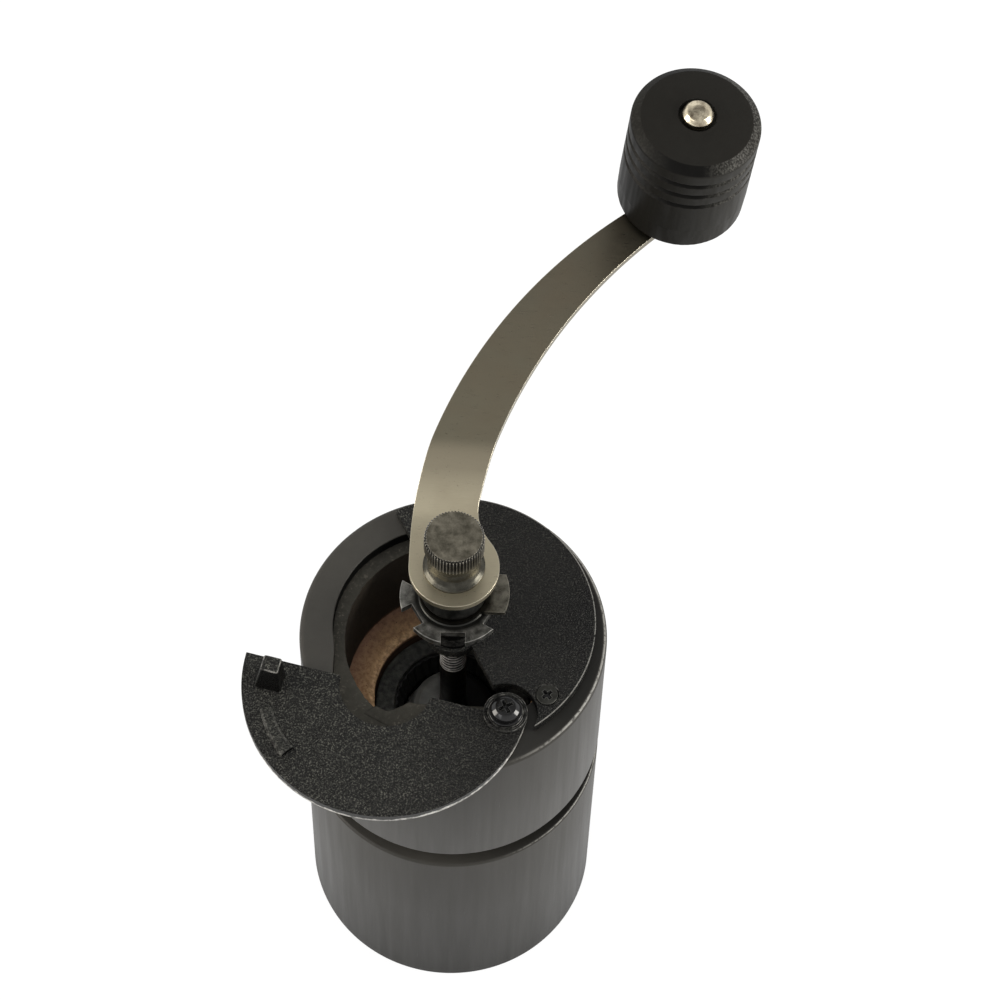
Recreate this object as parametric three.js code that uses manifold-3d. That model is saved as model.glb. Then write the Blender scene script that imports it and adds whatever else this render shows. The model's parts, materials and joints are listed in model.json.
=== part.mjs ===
// Hand cranked coffee grinder: a wooden cylinder mill with a swing lid, a crank arm and a grounds cup.
// Millimetres, +Z up. The origin is the centre of the cup's foot.

import * as THREE from 'three';
import { mergeVertices } from 'three/addons/utils/BufferGeometryUtils.js';
import Module from 'manifold-3d';

const wasm = await Module();
wasm.setup();

// Clearances
const seatGap = 0.1; // between flat faces that rest on each other
const fitGap = 0.3; // around pins, sockets and bores
const runGap = 0.4; // between faces that turn past each other
const cutOverrun = 1; // how far a cutter reaches past the face it cuts

// Facets
const bodyFacets = 64;
const boreFacets = 32;
const smallFacets = 16;
const screwFacets = 12;
const facetsPerNotch = 8;
const ribFacets = 10;
const roundSteps = 4;
const smallRoundSteps = 2;

// Wooden body
const bodyRadius = 40;
const bodyEdge = 2;
const smallEdge = 0.8;
const cupHeight = 81.5;
const revealHeight = 7.6;
const hopperHeight = 53.4;

// Grounds cup
const cupWall = 9;
const cupFloor = 8;
const footEdge = 1.6;
const socketDepth = 12;
const socketWall = 5;

// Hopper in the upper body
const hopperBoreShare = 0.705; // of the body's radius, as the next two
const pocketShare = 0.725;
const throatShare = 0.525;
const ledgeStep = 0.7;
const ledgeCentreX = -2.4;
const ledgeCentreY = 1.7;
const ledgeDepth = 4;
const funnelTopDepth = 34;
const funnelDrop = 4;
const throatLength = 12.5;

// Top plate with its bearing eye
const plateMargin = 4;
const plateCentreX = 0.9;
const plateCentreY = 2;
const plateThickness = 3;
const plateEdgeOffset = 1.8;
const plateEdgeAzimuth = 118.5;
const eyeRadius = 7.2;
const plateScrewInset = 13;
const plateScrewMargin = 8.1;

// Swing lid
const pivotMargin = 12.2;
const pivotAzimuth = -59.3;
const lidMargin = 2.8;
const lidThickness = 2.5;
const lidPivotMargin = 5.5;
const lidPivotInset = 0.16;
const lidEdgeInset = 0.8;
const lidNotchRadius = 12.1;
const lidOpenAngle = 48.5;
const pivotBossRadius = 5.7;
const pivotBossRise = 0.8;
const pivotCutRadius = 8.3;
const pivotPostRadius = 6;
const lugLength = 7.5;
const lugWidth = 5.5;
const lugTopLength = 5;
const lugTopWidth = 4;
const lugHeight = 9.4;
const lugMargin = 7.8;
const lugInset = 7;
const ribMargin = 6;
const ribWidth = 3.2;
const ribHeight = 0.9;
const ribStartAngle = 29;
const ribEndAngle = 51;
const lugHeightShares = [0, 0.85, 1];
const lugTaperShares = [0, 0.8, 1];
const lugCrownShare = 0.82;

// Screws
const woodScrewRadius = 1.5;
const plateScrewHead = 2.95;
const plateScrewHeadHeight = 1.7;
const plateScrewLength = 16;
const pivotScrewRadius = 2;
const pivotScrewHead = 3.7;
const pivotScrewHeadHeight = 2.6;
const pivotScrewLength = 20;
const pivotWasherRadius = 4.3;
const pivotWasherThickness = 0.6;
const recessWidth = 1;
const recessDepth = 1.1;
const recessSpan = 3.6;
const pivotRecessAngle = 20;
const pivotHeadStartAngle = 30;

// Shaft and its bearings
const shaftRadius = 3.5;
const shaftFlats = 5.6;
const shaftTail = 1.3;
const shaftBushWall = 1.3;
const bushDrop = 3;
const bushFlangeRadius = 6.4;
const bushFlangeThickness = 1.2;
const bushRise = 15.2;
const thrustWasherRadius = 6.4;
const thrustWasherThickness = 0.7;

// Grind adjuster
const wheelRadius = 13.75;
const wheelThickness = 2.2;
const wheelNotches = 6;
const wheelNotchWidth = 6.2;
const wheelNotchDepth = 3.2;
const wheelNotchStart = -89;
const wheelHubRadius = 8.6;
const wheelHubRise = 0.4;
const lockThickness = 1.4;
const lockRadius = 8.8;
const lockTabReach = 14.2;
const lockTabWidth = 10.8;
const lockTabAzimuth = 0;

// Crank
const liftTravel = 0.5;
const coneBaseRadius = 8.4;
const coneTopRadius = 7;
const crankHeight = 37.5;
const armThickness = 2;
const ringRadius = 11.4;
const armRise = 8;
const rampStart = 12;
const rampEnd = 33;
const armDroopShare = 0.068;
const droopStart = 2;
const innerArcX = 164.4;
const innerArcY = -17.8;
const innerArcRadius = 162.7;
const outerArcX = 140.1;
const outerArcY = -15.1;
const outerArcRadius = 154.2;
const spokeX = 152;
const spokeY = -16.5;
const armSteps = 30;
const neckSpan = 18.5;
const neckFlare = 14;
const neckBlend = 0.6;
const neckBlendReach = 20;
const neckStartShares = [0.32, 0.61];
const armEndRadius = 6.2;

// Thumb nut
const nutCollarRadius = 7.5;
const nutCollarHeight = 9.3;
const nutNeckRadius = 5.5;
const nutDomeShares = [[0, 0], [0, 0.12], [0.08, 0.32], [0.3, 0.58], [0.62, 0.8], [1, 1]];
const nutHeadRadius = 7.94;
const nutHeadHeight = 6.6;
const nutKnurls = 48;
const nutKnurlDepth = 0.45;
const nutWebHeight = 2.4;

// Knob
const knobX = 55.4;
const knobY = 109.5;
const knobRadius = 16.9;
const knobHeight = 35.4;
const knobCrown = 1.6;
const knobEdge = 3;
const knobFootEdge = 1;
const knobGrooveDepth = 0.9;
const knobGrooveWidth = 1.8;
const knobGrooveShares = [0.556, 0.687, 0.818];
const knobCrownShare = 0.7;
const knobRecessRadius = 4.8;
const knobRecessDepth = 1.4;
const knobWasherRadius = 7.5;
const knobWasherThickness = 1;
const pinRadius = 2.5;
const pinHeadRadius = 4.1;
const pinHeadHeight = 3.9;
const pinDomeShares = [[1, 0.45], [0.85, 0.8], [0.5, 1]];
const pinFootRadius = 4;
const pinFootHeight = 1.2;

// Grinding set
const burrShare = 0.852; // of the throat's radius
const housingLipWidth = 2.4;
const housingLipHeight = 1.7;
const housingHeight = 14.2;
const flangeThickness = 5.8;
const outerBurrHeight = 12;
const outerBurrBoreShares = [0.827, 0.749, 0.888]; // at the top, waist and foot
const outerBurrWaistShare = 0.55;
const outerBurrTeeth = 36;
const outerBurrToothDepth = 0.5;
const innerBurrHeight = 14;
const innerBurrTopRadius = 6;
const waistMillingGap = 1.3;
const footMillingGap = 1.4;
const innerBurrTeeth = 18;
const innerBurrToothDepth = 1.1;
const innerBurrTwist = 24;
const burrDrop = 1.4;
const bridgeThickness = 3.2;
const bridgeRingWidth = 12.5;
const bridgeRiserShare = 0.6;
const bridgeHubRadius = 7.4;
const bridgeHubHeight = 7;
const bridgeDrop = 3.6;
const spokeWidth = 7;
const spokeCount = 3;
const housingScrewLength = 18;
const housingScrewHead = 2.9;
const housingScrewHeadHeight = 2;
const housingScrewMargin = 4.2;
const drivePinRadius = 1.2;
const drivePinLength = 18;
const springWireRadius = 0.6;
const springCurls = 4;
const springHeight = 9;
const springRadius = 5;
const springStepsPerCurl = 8;
const springSides = 5;
const springWasherRadius = 7;
const springWasherThickness = 1;
const endNutRadius = 5.8;
const endNutHeight = 5;
const endNutSides = 6;

// Sizes worked out from the sizes above
const hopperBore = bodyRadius * hopperBoreShare;
const ledgeRadius = hopperBore + ledgeStep;
const pocketRadius = bodyRadius * pocketShare;
const throatRadius = bodyRadius * throatShare;
const spigotRadius = bodyRadius - socketWall - fitGap;
const plateRadius = bodyRadius - plateMargin;
const plateScrewSpread = plateRadius - plateScrewMargin;
const lidRadius = bodyRadius - lidMargin;
const lidPivotReach = lidRadius - lidPivotMargin;
const lugReach = lidRadius - lugMargin;
const ribRadius = lidRadius - ribMargin;
const burrOuterRadius = throatRadius * burrShare;
const housingLipRadius = burrOuterRadius - housingLipWidth;
const [outerBurrTopRadius, outerBurrWaistRadius, outerBurrFootRadius] =
  outerBurrBoreShares.map((share) => burrOuterRadius * share);
const innerBurrWaistRadius = outerBurrWaistRadius - waistMillingGap;
const innerBurrFootRadius = outerBurrFootRadius - footMillingGap;
const housingScrewCircle = pocketRadius - housingScrewMargin;

// Places worked out from the sizes above
const degree = Math.PI / 180;
const pivotX = (bodyRadius - pivotMargin) * Math.cos(pivotAzimuth * degree);
const pivotY = (bodyRadius - pivotMargin) * Math.sin(pivotAzimuth * degree);
const bodyTop = cupHeight + revealHeight + hopperHeight;
const hopperBottom = cupHeight - socketDepth + seatGap;
const plateBottom = bodyTop + seatGap;
const plateTop = plateBottom + plateThickness;
const funnelBottom = bodyTop - funnelTopDepth - funnelDrop;
const shoulder = funnelBottom - throatLength;
const boreClearance = shaftRadius + fitGap;
const bushRadius = boreClearance + shaftBushWall;
const bushTop = plateTop + bushRise;
const washerBottom = bushTop + seatGap;
const wheelBottom = washerBottom + thrustWasherThickness + seatGap;
const wheelTop = wheelBottom + wheelThickness;
const lockBottom = wheelTop + wheelHubRise + seatGap;
const lockTop = lockBottom + lockThickness;
const coneBottom = lockTop + liftTravel + fitGap;
const ringTop = bodyTop + crankHeight;
const ringBottom = ringTop - armThickness;
const coneTop = ringBottom - seatGap;
const nutBottom = ringTop + seatGap;
const nutHeadBottom = nutBottom + nutCollarHeight;
const nutTop = nutHeadBottom + nutHeadHeight;
const nutBoreTop = nutTop - nutWebHeight;
const shaftTop = nutBoreTop - fitGap;
const flangeTop = shoulder - seatGap;
const flangeBottom = flangeTop - flangeThickness;
const bridgeTop = flangeBottom - seatGap;
const burrTop = flangeTop - flangeThickness + housingHeight - housingLipHeight - seatGap;
const outerBurrBottom = burrTop - outerBurrHeight;
const innerBurrBottom = outerBurrBottom - burrDrop;
const hubTop = innerBurrBottom - bridgeDrop;
const hubBottom = hubTop - bridgeHubHeight;
const springTop = hubBottom - liftTravel - fitGap;
const springBottom = springTop - springHeight;
const springWasherTop = springBottom - fitGap;
const springWasherBottom = springWasherTop - springWasherThickness;
const endNutTop = springWasherBottom - seatGap;
const endNutBottom = endNutTop - endNutHeight;
const shaftBottom = endNutBottom - shaftTail;

const edgeAlong = new THREE.Vector3(
  Math.cos(plateEdgeAzimuth * degree), Math.sin(plateEdgeAzimuth * degree), 0);
const edgeNormal = new THREE.Vector3(edgeAlong.y, -edgeAlong.x, 0);

// Materials
function finish(colour, roughness, metalness) {
  return new THREE.MeshStandardMaterial({ color: colour, roughness, metalness });
}
const blackWood = finish(0x2b2926, 0.55, 0);
const powderCoat = finish(0x1d1d1b, 0.6, 0.1);
const burnishedSteel = finish(0x4a463e, 0.4, 0.9);
const antiqueNickel = finish(0x8a8069, 0.35, 0.9);
const blackScrew = finish(0x1a1a1a, 0.35, 0.8);
const castIron = finish(0x2c2b29, 0.7, 0.6);
const burrSteel = finish(0x55534f, 0.45, 0.9);
const bronze = finish(0x6d5632, 0.4, 0.9);
const springSteel = finish(0x6b6b68, 0.3, 0.9);

// A closed geometry as a solid, whichever way its faces were wound
function solid(geometry) {
  const bare = geometry.clone();
  bare.deleteAttribute('normal');
  bare.deleteAttribute('uv');
  const merged = mergeVertices(bare);
  const position = merged.getAttribute('position');
  const index = Array.from(merged.getIndex().array);
  const corner = [new THREE.Vector3(), new THREE.Vector3(), new THREE.Vector3()];
  const triangles = [];
  let volume = 0;
  for (let i = 0; i < index.length; i += 3) {
    const [a, b, c] = index.slice(i, i + 3);
    if (a === b || b === c || a === c) continue;
    triangles.push(a, b, c);
    corner[0].fromBufferAttribute(position, a);
    corner[1].fromBufferAttribute(position, b);
    corner[2].fromBufferAttribute(position, c);
    volume += corner[0].dot(corner[1].cross(corner[2]));
  }
  if (volume < 0) {
    for (let i = 0; i < triangles.length; i += 3) {
      [triangles[i], triangles[i + 1]] = [triangles[i + 1], triangles[i]];
    }
  }
  const mesh = new wasm.Mesh({
    numProp: 3,
    vertProperties: new Float32Array(position.array),
    triVerts: new Uint32Array(triangles),
  });
  return new wasm.Manifold(mesh);
}

// The triangles of a solid as a geometry
function geometryOf(body) {
  const mesh = body.getMesh();
  const geometry = new THREE.BufferGeometry();
  const position = new Float32Array(mesh.numVert * 3);
  for (let i = 0; i < mesh.numVert; i += 1) {
    for (let axis = 0; axis < 3; axis += 1) {
      position[i * 3 + axis] = mesh.vertProperties[i * mesh.numProp + axis];
    }
  }
  geometry.setAttribute('position', new THREE.BufferAttribute(position, 3));
  geometry.setIndex(new THREE.BufferAttribute(new Uint32Array(mesh.triVerts), 1));
  geometry.computeVertexNormals();
  return geometry;
}

// A named piece from a solid
function piece(name, body, material) {
  const mesh = new THREE.Mesh(geometryOf(body), material);
  mesh.name = name;
  return mesh;
}

// A turned solid about Z from [radius, height] pairs that start and end on the axis or meet
function turned(profile, facets) {
  const points = profile.map(([radius, height]) => new THREE.Vector2(radius, height));
  const geometry = new THREE.LatheGeometry(points, facets);
  geometry.rotateX(Math.PI / 2);
  return solid(geometry);
}

// A turned ring: the outline is closed on itself
function turnedRing(profile, facets) {
  return turned([...profile, profile[0]], facets);
}

// A plain round bar along Z
function bar(radius, bottom, top, facets, x = 0, y = 0) {
  const body = turned([[0, bottom], [radius, bottom], [radius, top], [0, top]], facets);
  return body.translate(x, y, 0);
}

// A plain washer or sleeve along Z
function sleeve(inner, outer, bottom, top, facets) {
  return turnedRing([[inner, bottom], [outer, bottom], [outer, top], [inner, top]], facets);
}

// A box from its middle and its three sizes
function block(x, y, z, sizeX, sizeY, sizeZ) {
  const geometry = new THREE.BoxGeometry(sizeX, sizeY, sizeZ);
  geometry.translate(x, y, z);
  return solid(geometry);
}

// A flat plate from a plan outline
function plate(shape, bottom, top, curveSegments) {
  const geometry = new THREE.ExtrudeGeometry(
    shape, { depth: top - bottom, bevelEnabled: false, curveSegments });
  geometry.translate(0, 0, bottom);
  return solid(geometry);
}

// A rounded corner of a turned profile, from one angle to another
function corner(radius, height, round, from, to, steps) {
  const points = [];
  for (let i = 0; i <= steps; i += 1) {
    const angle = (from + ((to - from) * i) / steps) * degree;
    points.push([radius + round * Math.cos(angle), height + round * Math.sin(angle)]);
  }
  return points;
}

function turnAbout(body, angle) {
  return body.rotate([0, 0, angle]);
}

// Cross recess of a screw head, cut down from a face
function crossRecess(top) {
  const middle = top - recessDepth / 2 + cutOverrun / 2;
  const height = recessDepth + cutOverrun;
  return block(0, 0, middle, recessSpan, recessWidth, height)
    .add(block(0, 0, middle, recessWidth, recessSpan, height));
}

// Grounds cup: a turned wooden pot whose mouth takes the spigot of the upper body
function makeGroundsCup() {
  const inner = bodyRadius - cupWall;
  const socket = bodyRadius - socketWall;
  const body = turned([
    [0, 0],
    ...corner(bodyRadius - footEdge, footEdge, footEdge, -90, 0, roundSteps),
    ...corner(bodyRadius - smallEdge, cupHeight - smallEdge, smallEdge, 0, 90, smallRoundSteps),
    [socket, cupHeight],
    [socket, cupHeight - socketDepth],
    [inner, cupHeight - socketDepth],
    [inner, cupFloor + footEdge],
    [inner - footEdge, cupFloor],
    [0, cupFloor],
  ], bodyFacets);
  return piece('grounds_cup', body, blackWood);
}

// Upper body: the spigot, the pocket for the grinding set, the funnel and the stepped hopper
function makeHopperBody() {
  const outerBottom = cupHeight + revealHeight;
  const outer = turned([
    [0, hopperBottom],
    [spigotRadius, hopperBottom],
    [spigotRadius, outerBottom],
    ...corner(bodyRadius - smallEdge, outerBottom + smallEdge, smallEdge, -90, 0, smallRoundSteps),
    ...corner(bodyRadius - bodyEdge, bodyTop - bodyEdge, bodyEdge, 0, 90, roundSteps),
    [0, bodyTop],
  ], bodyFacets);
  const hollow = turned([
    [0, hopperBottom - cutOverrun],
    [pocketRadius, hopperBottom - cutOverrun],
    [pocketRadius, shoulder],
    [throatRadius, shoulder],
    [throatRadius, funnelBottom],
    [hopperBore, funnelBottom + funnelDrop],
    [hopperBore, bodyTop + cutOverrun],
    [0, bodyTop + cutOverrun],
  ], boreFacets);
  const ledge = bar(
    ledgeRadius, bodyTop - ledgeDepth, bodyTop + cutOverrun, boreFacets, ledgeCentreX, ledgeCentreY);
  const post = bar(pivotPostRadius, funnelBottom, bodyTop, smallFacets, pivotX, pivotY);
  const within = bar(bodyRadius - bodyEdge, funnelBottom, bodyTop, boreFacets);
  let body = outer.subtract(hollow.add(ledge)).add(post.intersect(within));
  body = body.subtract(bar(
    pivotScrewRadius + fitGap, bodyTop - pivotScrewLength, bodyTop + cutOverrun,
    screwFacets, pivotX, pivotY));
  for (const [x, y] of plateScrewPlaces()) {
    body = body.subtract(bar(
      woodScrewRadius + fitGap, plateTop - plateScrewLength - fitGap, bodyTop + cutOverrun,
      screwFacets, x, y));
  }
  for (const angle of housingScrewAngles()) {
    const hole = bar(
      woodScrewRadius + fitGap, shoulder - cutOverrun, bridgeTop - bridgeThickness
      + housingScrewLength + fitGap, screwFacets, housingScrewCircle);
    body = body.subtract(turnAbout(hole, angle));
  }
  return piece('hopper_body', body, blackWood);
}

function plateScrewPlaces() {
  return [-1, 1].map((side) => {
    const place = edgeNormal.clone().multiplyScalar(plateScrewInset)
      .addScaledVector(edgeAlong, side * plateScrewSpread);
    return [place.x, place.y];
  });
}

function housingScrewAngles() {
  return Array.from({ length: spokeCount }, (_, i) => ((i + 0.5) * 360) / spokeCount);
}

// Top plate: a D of sheet metal with the eye that carries the upper bush
function makeTopPlate() {
  const disc = bar(plateRadius, plateBottom, plateTop, bodyFacets, plateCentreX, plateCentreY);
  const half = block(
    plateEdgeOffset + bodyRadius, 0, plateBottom + plateThickness / 2,
    bodyRadius * 2, bodyRadius * 4, plateThickness * 2);
  let body = disc.intersect(turnAbout(half, plateEdgeAzimuth - 90));
  body = body.add(bar(eyeRadius, plateBottom, plateTop, boreFacets));
  const below = plateBottom - cutOverrun;
  const above = plateTop + cutOverrun;
  body = body.subtract(bar(bushRadius + fitGap, below, above, smallFacets));
  body = body.subtract(bar(pivotCutRadius, below, above, boreFacets, pivotX, pivotY));
  for (const [x, y] of plateScrewPlaces()) {
    const sink = turned([
      [0, below],
      [woodScrewRadius + fitGap, below],
      [woodScrewRadius + fitGap, plateTop - plateScrewHeadHeight - fitGap],
      [plateScrewHead + fitGap, plateTop - fitGap],
      [plateScrewHead + fitGap, above],
      [0, above],
    ], smallFacets);
    body = body.subtract(sink.translate(x, y, 0));
  }
  return piece('top_plate', body, powderCoat);
}

// Countersunk cross-head screws of the top plate
function makePlateScrews() {
  return plateScrewPlaces().map(([x, y], i) => {
    const shank = turned([
      [0, plateTop - plateScrewLength],
      [woodScrewRadius, plateTop - plateScrewLength + woodScrewRadius],
      [woodScrewRadius, plateTop - plateScrewHeadHeight],
      [plateScrewHead, plateTop - seatGap * 2],
      [plateScrewHead, plateTop - seatGap],
      [0, plateTop - seatGap],
    ], screwFacets);
    const body = shank.subtract(crossRecess(plateTop - seatGap)).translate(x, y, 0);
    return piece(`plate_screw_${i + 1}`, body, blackScrew);
  });
}

// Swing lid: a half disc about its own centre, with its tip towards +X and its belly towards +Y
function makeLid() {
  const bottom = plateBottom + runGap / 2;
  const top = bottom + lidThickness;
  const pivot = [-lidPivotReach, lidPivotInset];
  const disc = bar(lidRadius, bottom, top, bodyFacets);
  const half = block(
    0, lidEdgeInset + lidRadius, bottom + lidThickness / 2,
    lidRadius * 4, lidRadius * 2, lidThickness * 2);
  let body = disc.intersect(half);
  body = body.subtract(bar(lidNotchRadius, bottom - cutOverrun, top + cutOverrun, boreFacets));
  body = body.add(bar(pivotBossRadius, bottom, top + pivotBossRise, boreFacets, ...pivot));
  const lug = makeLug(top).translate(lugReach, lugInset, 0);
  body = body.add(lug).add(makeRib(top));
  body = body.subtract(bar(
    pivotScrewRadius + fitGap, bottom - cutOverrun, top + pivotBossRise + cutOverrun,
    screwFacets, ...pivot));
  return body.translate(lidPivotReach, -lidPivotInset, 0);
}

// Finger lug: a block that narrows towards its top
function makeLug(base) {
  const outline = [[-1, -1], [1, -1], [1, 1], [-1, 1]];
  const position = [];
  lugHeightShares.forEach((heightShare, row) => {
    const shrink = row === lugHeightShares.length - 1 ? lugCrownShare : 1;
    const length = (lugLength + (lugTopLength - lugLength) * lugTaperShares[row]) * shrink;
    const width = (lugWidth + (lugTopWidth - lugWidth) * lugTaperShares[row]) * shrink;
    const height = base - lidThickness / 2 + (lugHeight + lidThickness / 2) * heightShare;
    for (const [x, y] of outline) position.push((x * length) / 2, (y * width) / 2, height);
  });
  const index = [0, 2, 1, 0, 3, 2];
  const rows = lugHeightShares.length;
  for (let row = 0; row < rows - 1; row += 1) {
    for (let side = 0; side < 4; side += 1) {
      const a = row * 4 + side;
      const b = row * 4 + ((side + 1) % 4);
      index.push(a, b, b + 4, a, b + 4, a + 4);
    }
  }
  const last = (rows - 1) * 4;
  index.push(last, last + 1, last + 2, last, last + 2, last + 3);
  const geometry = new THREE.BufferGeometry();
  geometry.setAttribute('position', new THREE.Float32BufferAttribute(position, 3));
  geometry.setIndex(index);
  return solid(geometry);
}

// Raised rib pressed into the lid behind the lug
function makeRib(base) {
  const shape = new THREE.Shape();
  const from = ribStartAngle * degree;
  const to = ribEndAngle * degree;
  shape.absarc(0, 0, ribRadius + ribWidth / 2, from, to, false);
  shape.absarc(0, 0, ribRadius - ribWidth / 2, to, from, true);
  shape.closePath();
  return plate(shape, base - lidThickness / 2, base + ribHeight, ribFacets);
}

// Pan-head pivot screw and its washer, about their own axis
function makeLidPivot() {
  const bossTop = plateBottom + runGap / 2 + lidThickness + pivotBossRise;
  const washerBase = bossTop + runGap / 2;
  const washer = sleeve(
    pivotScrewRadius + fitGap / 2, pivotWasherRadius, washerBase,
    washerBase + pivotWasherThickness, smallFacets);
  const headBase = washerBase + pivotWasherThickness + seatGap;
  const headTop = headBase + pivotScrewHeadHeight;
  const screw = turned([
    [0, bodyTop - pivotScrewLength + fitGap],
    [pivotScrewRadius, bodyTop - pivotScrewLength + fitGap + pivotScrewRadius],
    [pivotScrewRadius, headBase],
    [pivotScrewHead, headBase],
    [pivotScrewHead, headBase + pivotScrewHeadHeight / 2],
    ...corner(pivotScrewHead - pivotScrewHeadHeight / 2, headTop - pivotScrewHeadHeight / 2,
      pivotScrewHeadHeight / 2, pivotHeadStartAngle, 90, smallRoundSteps),
    [0, headTop],
  ], smallFacets);
  const body = screw.subtract(turnAbout(crossRecess(headTop), pivotRecessAngle));
  return [piece('lid_washer', washer, blackScrew), piece('lid_pivot_screw', body, blackScrew)];
}

// Bush pressed into the eye, and the washer that the adjuster turns on
function makeUpperBearing() {
  const body = turnedRing([
    [boreClearance, plateBottom - bushDrop],
    [bushRadius, plateBottom - bushDrop],
    [bushRadius, plateTop + seatGap],
    [bushFlangeRadius, plateTop + seatGap],
    [bushFlangeRadius, plateTop + seatGap + bushFlangeThickness],
    [bushRadius, plateTop + seatGap + bushFlangeThickness * 2],
    [bushRadius, bushTop],
    [boreClearance, bushTop],
  ], smallFacets);
  const washer = sleeve(
    boreClearance, thrustWasherRadius, washerBottom, washerBottom + thrustWasherThickness,
    smallFacets);
  return [piece('upper_bush', body, burnishedSteel), piece('thrust_washer', washer, burnishedSteel)];
}

// Star wheel: the notched nut that sets the grind
function makeStarWheel() {
  let body = turnedRing([
    [boreClearance, wheelBottom],
    [wheelRadius, wheelBottom],
    [wheelRadius, wheelTop],
    [wheelHubRadius + wheelHubRise, wheelTop],
    [wheelHubRadius, wheelTop + wheelHubRise],
    [boreClearance, wheelTop + wheelHubRise],
  ], wheelNotches * facetsPerNotch);
  for (let i = 0; i < wheelNotches; i += 1) {
    const notch = block(
      wheelRadius, 0, wheelBottom + wheelThickness / 2,
      wheelNotchDepth * 2, wheelNotchWidth, wheelThickness + cutOverrun * 2);
    body = body.subtract(turnAbout(notch, wheelNotchStart + (i * 360) / wheelNotches));
  }
  return piece('star_wheel', body, burnishedSteel);
}

// A hole with two flats, for the pieces that turn with the shaft
function flattedHole(bottom, top) {
  const round = bar(boreClearance, bottom - cutOverrun, top + cutOverrun, smallFacets);
  const width = shaftFlats + fitGap * 2;
  return round.intersect(block(
    0, 0, (bottom + top) / 2, boreClearance * 4, width, top - bottom + cutOverrun * 4));
}

// Lock plate: a flatted washer whose tab lies over the star wheel
function makeLockPlate() {
  const middle = lockBottom + lockThickness / 2;
  const hub = bar(lockRadius, lockBottom, lockTop, boreFacets);
  const tab = block(lockTabReach / 2, 0, middle, lockTabReach, lockTabWidth, lockThickness);
  const trim = bar(lockTabReach, lockBottom, lockTop, bodyFacets);
  const arm = turnAbout(tab.intersect(trim), lockTabAzimuth);
  const body = hub.add(arm).subtract(flattedHole(lockBottom, lockTop));
  return piece('lock_plate', body, antiqueNickel);
}

// Seat cone that carries the crank on the shaft
function makeSeatCone() {
  const body = turnedRing([
    [boreClearance, coneBottom],
    [coneBaseRadius, coneBottom],
    [coneBaseRadius, coneBottom + smallEdge],
    [coneTopRadius, coneTop],
    [boreClearance, coneTop],
  ], boreFacets);
  return piece('seat_cone', body, burnishedSteel);
}

// Drive shaft: threaded, with two flats from the lock plate up to the crank
function makeDriveShaft() {
  const shaft = turned([
    [0, shaftBottom],
    [shaftRadius - smallEdge, shaftBottom],
    [shaftRadius, shaftBottom + smallEdge],
    [shaftRadius, shaftTop - smallEdge],
    [shaftRadius - smallEdge, shaftTop],
    [0, shaftTop],
  ], smallFacets);
  const low = lockBottom - fitGap - liftTravel;
  const height = shaftTop + cutOverrun - low;
  const flats = [-1, 1].map((side) => block(
    0, side * (shaftFlats / 2 + shaftRadius), low + height / 2, shaftRadius * 4, shaftRadius * 2,
    height));
  const pinHole = bar(
    drivePinRadius + fitGap, -shaftRadius * 2, shaftRadius * 2, screwFacets)
    .rotate([0, 90, 0]).translate(0, 0, drivePinHeight());
  return piece('drive_shaft', shaft.subtract(flats[0]).subtract(flats[1]).subtract(pinHole),
    burnishedSteel);
}

function drivePinHeight() {
  return innerBurrBottom + drivePinRadius + fitGap;
}

// Height of the arm's top face over a point of the plan
function armTopAt(x, y) {
  const share = Math.min(Math.max((y - rampStart) / (rampEnd - rampStart), 0), 1);
  const ease = share * share * (3 - 2 * share);
  return ringTop + ease * (armRise - armDroopShare * (x - droopStart));
}

// Where a ray from the spoke centre meets one of the arm's edge arcs
function onArc(angle, centreX, centreY, radius) {
  const direction = new THREE.Vector2(Math.cos(angle), Math.sin(angle));
  const offset = new THREE.Vector2(spokeX - centreX, spokeY - centreY);
  const along = direction.dot(offset);
  const reach = -along + Math.sqrt(radius * radius - offset.lengthSq() + along * along);
  return [spokeX + direction.x * reach, spokeY + direction.y * reach];
}

// The arm's strip: cross-sections between the two edge arcs, from the ring to the knob
function makeArmStrip() {
  const spokeAngle = (x, y) => Math.atan2(y - spokeY, x - spokeX);
  const end = spokeAngle(knobX, knobY);
  const outerStart = spokeAngle(-ringRadius, 0);
  const innerStart = spokeAngle(...neckStartShares.map((share) => share * ringRadius));
  const position = [];
  for (let i = 0; i <= armSteps; i += 1) {
    const share = i / armSteps;
    const outerAngle = outerStart + (end - outerStart) * share;
    const innerAngle = innerStart + (end - innerStart) * share;
    let [outerX, outerY] = onArc(outerAngle, outerArcX, outerArcY, outerArcRadius);
    let [innerX, innerY] = onArc(innerAngle, innerArcX, innerArcY, innerArcRadius);
    const past = (outerX + ringRadius) / neckBlend;
    outerX = -ringRadius + neckBlend * (past > neckBlendReach ? past : Math.log1p(Math.exp(past)));
    const neck = Math.max(0, 1 - innerY / neckSpan);
    innerX += neckFlare * neck * neck;
    for (const [x, y] of [[outerX, outerY], [innerX, innerY]]) {
      const top = armTopAt(x, y);
      position.push(x, y, top - armThickness, x, y, top);
    }
  }
  const index = [0, 1, 3, 0, 3, 2];
  for (let i = 0; i < armSteps; i += 1) {
    const a = i * 4;
    const b = a + 4;
    index.push(a, a + 2, b + 2, a, b + 2, b);
    index.push(a + 1, b + 1, b + 3, a + 1, b + 3, a + 3);
    index.push(a, b, b + 1, a, b + 1, a + 1);
    index.push(a + 2, a + 3, b + 3, a + 2, b + 3, b + 2);
  }
  const last = armSteps * 4;
  index.push(last, last + 2, last + 3, last, last + 3, last + 1);
  const geometry = new THREE.BufferGeometry();
  geometry.setAttribute('position', new THREE.Float32BufferAttribute(position, 3));
  geometry.setIndex(index);
  return solid(geometry);
}

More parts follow.
